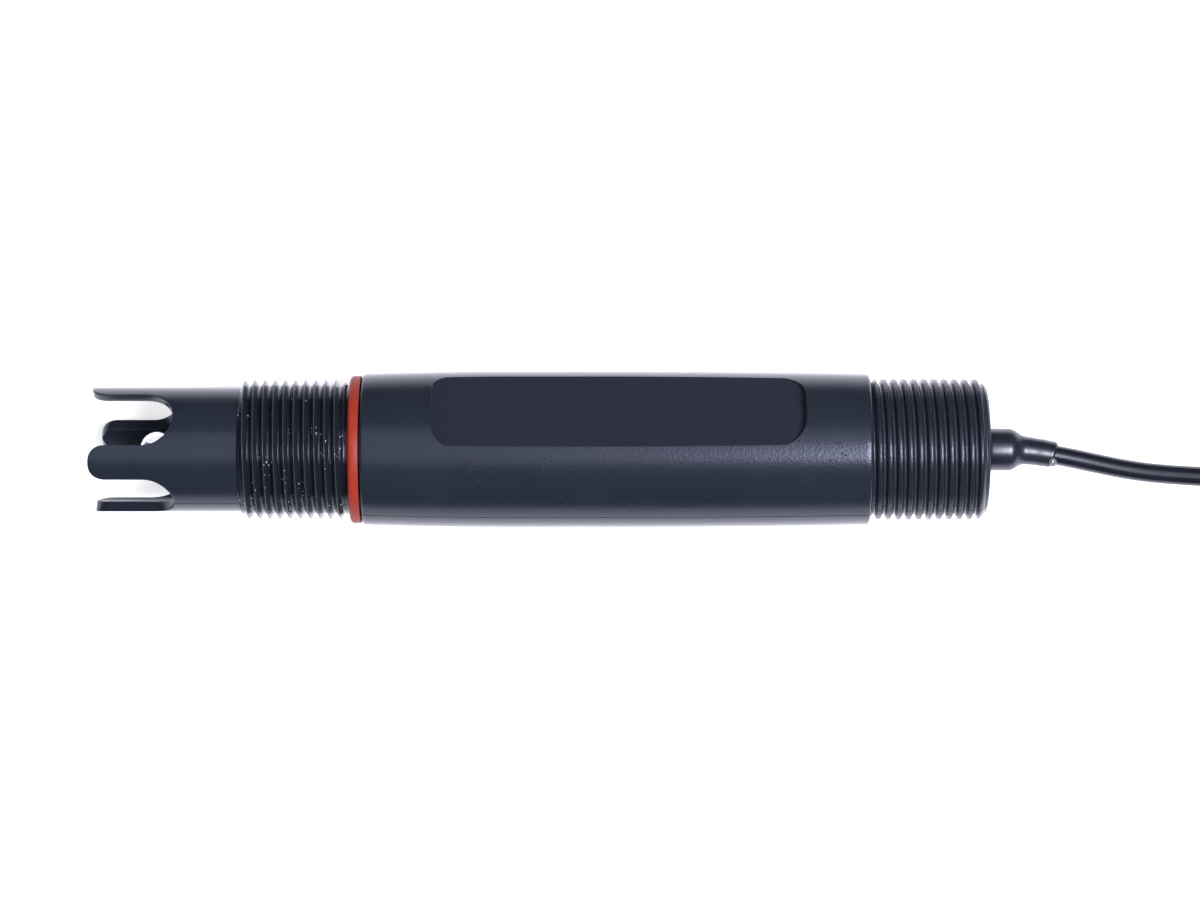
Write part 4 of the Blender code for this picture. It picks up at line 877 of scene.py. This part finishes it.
def hank_line():
    """The turns of the hank as points: two straight runs along X and two half circles.

    Turns lie in columns HANK_INNER plus whole strands out, and in layers one strand up. On
    the +Y run each turn moves over to the next place by 3t^2 - 2t^3 of the way, and the
    lowest layers move first, so the strands pass one another. The last place is reached at
    the left end, where the lead goes on into the eye."""
    places = [(0, 4)]
    for layer, columns in ((3, (0, 1, 2)), (2, (2, 1, 0)), (1, (0, 1, 2)), (0, (2, 1, 0))):
        places += [(column, layer) for column in columns]
    places = np.array(places) * STRAND + [HANK_INNER, HANK_FLOOR]
    left, right = HANK_CENTRE_X - HANK_HALF, HANK_CENTRE_X + HANK_HALF
    bend = np.linspace(-math.pi / 2, math.pi / 2, 13)
    # points 9 mm apart on the way out, and 2.5 mm apart on the way back, to move over smoothly
    out = left + np.arange(9.0, 54.0, 9.0) * MM
    back = right - np.arange(2.5, 53.0, 2.5) * MM
    points = []

    def half_circle(end, side, across, up):
        """Points round one end of the hank; side is 1 at the right and -1 at the left."""
        x = end + side * across * np.cos(bend)
        points.append(np.stack([x, side * across * np.sin(bend), up + 0 * bend], axis=1))

    for here, onward in zip(places[:-1], places[1:]):
        across, up = here
        points.append(np.stack([out, -across + 0 * out, up + 0 * out], axis=1))
        half_circle(right, 1, across, up)
        layers_up = ((here + onward)[1] / 2 - HANK_FLOOR) / STRAND
        begun = MOVE_START + MOVE_LAG * layers_up
        share = np.clip((right - back - begun) / MOVE_LENGTH, 0, 1)[:, None]
        moved = here + (onward - here) * share**2 * (3 - 2 * share)
        points.append(np.concatenate([back[:, None], moved], axis=1))
        half_circle(left, -1, *onward)
    return np.concatenate(points)


def cable_jacket():
    """Extruded black vinyl, left glossy by the die with a faint orange peel, which breaks
    up the line of light along it."""
    return plain(
        "extruded_vinyl_jacket", ("#12141b", "#161821"), size=6 * MM, roughness=(0.23, 0.265),
        bump_size=0.35 * MM, bump_depth=0.012 * MM, specular_tint=(0.84, 0.86, 1.0, 1.0),
    )


def make_lead(line):
    """The lead as one round tube on its line: 2.5 m, of which most lies in the hank."""
    run = np.concatenate([[0], np.cumsum(np.linalg.norm(np.diff(line, axis=0), axis=1))])
    at = np.concatenate([[0.0], run, [run[-1]]])
    radii = np.full(len(at), CABLE_R)
    radii[[0, -1]] = 0.0
    made = surface("coaxial_lead", [swept(line, at, radii, CABLE_SIDES)], cable_jacket())
    stands_for(made, BODY, "cable", "cable_hank", "cable_tail")
    return made


def make_shrink_sleeve(line):
    """Heat-shrink sleeve on the lead, of shrunk polyolefin, which is satin with a wavy skin:
    full over the bush, then a shoulder, then drawn tight to a cut end at a slant, with
    wrinkles that follow a sine where it has drawn in."""
    # millimetres past the rear face, and radius
    shape = [
        (0.4, 3.55),
        (0.42, 3.66),
        (0.55, 3.76),
        (1.2, 3.8),
        (3.9, 3.8),
        (4.4, 3.77),
        (4.8, 3.68),
        (5.2, 3.5),
        (5.6, 3.22),
        (6.0, 2.94),
        (6.4, 2.72),
        (6.9, 2.57),
        (7.5, 2.5),
        (11.9, 2.37),
        (12.15, 2.33),
        (12.35, 2.24),
        (12.48, 2.12),
        (12.52, 2.0),
    ]
    bore = [
        (12.5, 1.92),
        (12.3, 1.9),
        (7.4, 2.0),
        (6.6, 2.2),
        (5.8, 2.6),
        (4.8, 3.2),
        (4.3, 3.4),
        (0.42, 3.4),
    ]
    past, outer = np.array(shape).T
    along = np.concatenate([past[:12], np.arange(7.2, 11.8, 0.25), past[13:]])
    outer = np.interp(along, past, outer)
    wrinkles = 0.014 * np.sin(along * 2.6) * (along > 7) * (along < 12)
    inside, inner = np.array(bore).T
    at = np.concatenate([along, inside, along[:1]]) * MM + CABLE_INSIDE
    radii = np.concatenate([outer + wrinkles, inner, outer[:1]]) * MM
    slant = np.interp(at - CABLE_INSIDE, [9 * MM, 12.6 * MM], [0.0, 0.12])
    finish = plain(
        "shrunk_polyolefin", ("#151820", "#1b1e27"), size=3 * MM, roughness=(0.29, 0.33),
        bump_size=0.8 * MM, bump_depth=0.012 * MM, specular_ior_level=0.6,
        specular_tint=(0.84, 0.86, 1.0, 1.0),
    )
    made = surface("shrunk_sleeve", [swept(line, at, radii, 64, slant)], finish, 60)
    return stands_for(made, BODY, "shrink_sleeve")


def make_glue_bead(line):
    """Bead of the sleeve's clear hot-melt lining, squeezed out at its end: a ball with three
    unequal halves, whose radius at each place is changed a little by a sine and a cosine.
    It is glassy and lumpy, so it sparkles."""
    past_face = 11.7 * MM
    off_middle = np.array([0.0, -1.4, 1.92]) * MM
    half = np.array([0.72, 0.75, 0.5]) * MM
    spacing = line_length(line) / (len(line) - 1)
    middle = line[round((CABLE_INSIDE + past_face) / spacing)] + off_middle
    tall = np.linspace(0, math.pi, 25)[:, None]
    turn = np.linspace(0, 2 * math.pi, 33)[None, :]
    size = 1 + 0.08 * np.sin(3 * turn) * np.sin(tall) + 0.06 * np.cos(4 * tall) * np.sin(tall)
    across = np.sin(tall) * np.cos(turn)
    ball = np.stack([np.cos(tall) + 0 * turn, across, np.sin(tall) * np.sin(turn)], axis=-1)
    finish = plain(
        "clear_hot_melt", ("#b9bbc4", "#cfd0d6"), size=0.4 * MM, roughness=(0.05, 0.12),
        bump_size=0.3 * MM, bump_depth=0.05 * MM, transmission_weight=0.8, ior=1.48,
    )
    made = surface("hot_melt_bead", [ball * size[..., None] * half + middle], finish, 180)
    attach(made, BODY)
    return made


# Stage, light and camera

def make_stage():
    """Round floor of matt white board that rises into a low wall far out: its section goes
    round in a circle. Its own light makes what the camera sees of it white, straight or
    through glass, less so near the electrode, where the lamps lay its shadow. In the
    electrode's mirror image it is a bright sheet under and beside it, and dark past that,
    as black card round a product table is."""
    made, tree, shader, coords = new_material("white_studio_floor", roughness=0.9)
    turn = np.linspace(0, 2 * math.pi, 97)
    # metres from the middle, and height
    section = [
        (0.0, 0.0),
        (0.3, 0.0),
        (0.8, 0.0),
        (1.6, 0.0),
        (2.2, 0.02),
        (2.6, 0.14),
        (2.8, 0.4),
        (2.85, 0.8),
    ]
    reach, height = np.array(section).T[:, :, None]
    grid = np.stack([reach * np.cos(turn), reach * np.sin(turn), height + 0 * turn], axis=-1)
    floor = surface("studio_floor", [grid], made)
    direct = node(tree, "LightPath", out="Is Camera Ray")
    through = direct.node.outputs["Is Transmission Ray"]
    mirrored = direct.node.outputs["Is Glossy Ray"]
    seen = node(tree, "Math", {0: direct, 1: through}, operation="MAXIMUM")
    far = node(tree, "VectorMath", {0: coords}, out="Value", operation="LENGTH")
    along = node(tree, "SeparateXYZ", {0: coords}, out="X")
    across = along.node.outputs["Y"]
    # 0.6 of white within 0.3 m, full white from 1.2 m out and round the hank
    white = node(tree, "MapRange", {0: far, 1: 0.3, 2: 1.2, 3: 0.6, 4: 1.0})
    by_hank = node(tree, "MapRange", {0: along, 1: 0.095, 2: 0.115})
    white = node(tree, "Math", {0: white, 1: by_hank}, operation="MAXIMUM")
    # the bright sheet fades out 0.12 to 0.3 m towards -Y and 0.035 to 0.09 m towards +Y
    near_side = node(tree, "MapRange", {0: across, 1: -0.3, 2: -0.12})
    far_side = node(tree, "MapRange", {0: across, 1: 0.035, 2: 0.09, 3: 1.0, 4: 0.0})
    sheet = node(tree, "Math", {0: far_side, 1: near_side}, operation="MULTIPLY")
    glow = node(tree, "Math", {0: sheet, 1: 0.9}, operation="MULTIPLY")
    power = node(tree, "Mix", {0: mirrored, 2: 0.0, 3: glow})
    power = node(tree, "Math", {0: seen, 1: white, 2: power}, operation="MULTIPLY_ADD")
    tree.links.new(power, shader.inputs["Emission Strength"])
    tint = {0: mirrored, 6: linear("#ffffff"), 7: linear("#ececff")}
    tint = node(tree, "Mix", tint, out=2, data_type="RGBA")
    tree.links.new(tint, shader.inputs["Emission Color"])
    dark = node(tree, "Math", {0: 1.0, 1: sheet}, operation="SUBTRACT")
    dark = node(tree, "Math", {0: dark, 1: mirrored}, operation="MULTIPLY")
    colour = {0: dark, 6: linear("#e8e8ea"), 7: linear("#34343a")}
    colour = node(tree, "Mix", colour, out=2, data_type="RGBA")
    tree.links.new(colour, shader.inputs["Base Color"])


def area_light(name, place_at, aim, size, power, colour):
    """A rectangular softbox at a place, turned to shine at a point."""
    data = bpy.data.lights.new(name, "AREA")
    data.shape = "RECTANGLE"
    data.size, data.size_y = size
    data.energy = power
    data.color = linear(colour)[:3]
    made = bpy.data.objects.new(name, data)
    bpy.context.scene.collection.objects.link(made)
    made.location = place_at
    way = np.array(aim, float) - np.array(place_at, float)
    made.rotation_euler = (
        math.atan2(math.hypot(way[0], way[1]), -way[2]),
        0.0,
        math.atan2(way[1], way[0]) - math.pi / 2,
    )
    return made


def make_light():
    """Softbox over the electrode, a smaller one towards its rear end, and a grey room."""
    area_light(
        "overhead_softbox",
        place_at=(0.0, 0.1, 1.1),
        aim=(0.0, 0.05, 0.0),
        size=(1.3, 1.1),
        power=7.2,
        colour="#f8f8ff",
    )
    area_light(
        "rear_softbox",
        place_at=(0.37, -0.08, 0.9),
        aim=(0.25, -0.05, 0.0),
        size=(0.4, 0.34),
        power=15.0,
        colour="#f8f8ff",
    )
    world = bpy.data.worlds.new("grey_room")
    world.use_nodes = True
    world.node_tree.nodes["Background"].inputs["Color"].default_value = linear("#c9ccd6")
    world.node_tree.nodes["Background"].inputs["Strength"].default_value = 0.15
    bpy.context.scene.world = world


def make_camera():
    """Camera straight above, far back behind a long lens, with the guard at the left."""
    data = bpy.data.cameras.new("camera")
    data.lens, data.sensor_width = CAMERA_LENS, CAMERA_SENSOR
    data.sensor_fit = "HORIZONTAL"
    data.clip_start, data.clip_end = 0.02, 20.0
    made = bpy.data.objects.new("camera", data)
    bpy.context.scene.collection.objects.link(made)
    made.location = (CAMERA_X, CAMERA_Y, AXIS_Z + CAMERA_HEIGHT)
    bpy.context.scene.camera = made


def dress(material, *names):
    """Put the material on CAD nodes that are shown as they are."""
    for name in names:
        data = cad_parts[name].data
        data.materials.clear()
        data.materials.append(material)


def dress_nodes():
    """Materials of the pieces whose CAD shape is shown."""
    # Bright nickel over turned brass: a mirror a little warm, softened by handling
    nickel = plain(
        "bright_nickel_plate", ("#c9c4bb", "#d2cec6"), size=3 * MM, roughness=(0.14, 0.22),
        bump_size=0.4 * MM, bump_depth=0.002 * MM, metallic=1.0,
    )
    dress(nickel, "crimp_ferrule", "plug_body", "spring_washer", "coupling_ring")
    # Gold plate, polished by contact
    gold = plain(
        "gold_plate", ("#e2b45c", "#dba94c"), size=2 * MM, roughness=(0.16, 0.24),
        bump_size=0.3 * MM, bump_depth=0.002 * MM, metallic=1.0,
    )
    dress(gold, "centre_pin")
    # Moulded rubber, dull all over
    rubber = plain(
        "black_rubber", ("#16161a", "#1c1c20"), size=4 * MM, roughness=(0.6, 0.72),
        bump_size=0.2 * MM, bump_depth=0.008 * MM,
    )
    dress(rubber, "bung_o_ring", "stem_o_ring", "cable_bush", "plug_boot")
    # Moulded nylon, satin and slightly grained
    strap = plain(
        "nylon_strap", ("#16171b", "#1d1e23"), size=4 * MM, roughness=(0.45, 0.55),
        bump_size=0.25 * MM, bump_depth=0.006 * MM,
    )
    dress(strap, "hank_tie_left", "hank_tie_right")
    # Sintered beads, chalky and rough
    porous = plain(
        "sintered_porous_polymer", ("#e4e4e2", "#f0efec"), size=1.2 * MM, roughness=(0.75, 0.9),
        bump_size=0.12 * MM, bump_depth=0.02 * MM,
    )
    dress(porous, "junction_ring")
    # Turned rod, satin from the tool
    white = plain(
        "turned_white_plastic", ("#e6e5e1", "#eceae6"), size=5 * MM, roughness=(0.4, 0.5),
        bump_size=0.2 * MM, bump_depth=0.003 * MM,
    )
    dress(white, "stem_spacer", "chamber_bung", "plug_insulator")
    # Moulded silicone, soft and milky
    pale = plain(
        "pale_silicone_rubber", ("#cfc8b8", "#d8d2c4"), size=3 * MM, roughness=(0.5, 0.6),
        bump_size=0.2 * MM, bump_depth=0.004 * MM,
    )
    dress(pale, "stem_stopper")
    # Wire drawn bright through a die
    silver = plain(
        "drawn_silver_wire", ("#d6d4ce", "#dedcd7"), size=3 * MM, roughness=(0.2, 0.3),
        bump_size=0.3 * MM, bump_depth=0.002 * MM, metallic=1.0,
    )
    dress(silver, "silver_wire")
    # Silver with a plated coat of its chloride: matt, grey with a violet brown cast
    chloride = plain(
        "chlorided_silver", ("#5e5556", "#6e6362"), size=0.8 * MM, roughness=(0.6, 0.75),
        bump_size=0.06 * MM, bump_depth=0.008 * MM,
    )
    dress(chloride, "reference_wire")
    # Extruded insulation, smooth and faintly glossy
    insulation = plain(
        "wire_insulation", ("#dcdbd5", "#e4e3de"), size=4 * MM, roughness=(0.35, 0.42),
        bump_size=0.3 * MM, bump_depth=0.003 * MM,
    )
    dress(insulation, "core_lead", "shield_lead")
    # Thin shrunk tube, tight and satin
    shrink = plain(
        "small_shrink_tube", ("#101115", "#15161a"), size=2 * MM, roughness=(0.28, 0.36),
        bump_size=0.5 * MM, bump_depth=0.01 * MM,
    )
    dress(shrink, "core_solder_sleeve", "reference_solder_sleeve")
    # Epoxy poured and left to level: glossy, with a slow wave
    epoxy = plain(
        "poured_epoxy", ("#121216", "#17171c"), size=3 * MM, roughness=(0.12, 0.2),
        bump_size=1.5 * MM, bump_depth=0.02 * MM,
    )
    dress(epoxy, "epoxy_potting")
    # Punched from silicone sheet
    red = plain(
        "red_silicone_gasket", ("#a03a2c", "#a8402f"), size=3 * MM, roughness=(0.45, 0.55),
        bump_size=0.15 * MM, bump_depth=0.004 * MM,
    )
    dress(red, "plug_gasket")


make_camera()
on_lead = ["plug_boot", "crimp_ferrule", "plug_body", "plug_insulator", "centre_pin", "plug_gasket"]
on_lead += ["spring_washer", "coupling_ring", "hank_tie_left", "hank_tie_right", "cable_bush"]
line = lead_line()
shrunk = make_shrink_sleeve(line)
make_lead(line)
make_glue_bead(line)
make_stage()
make_light()
make_housing()
make_seal_ring()
make_glass()
make_solution()
dress_nodes()

scene = bpy.context.scene
scene.view_settings.view_transform = "Standard"
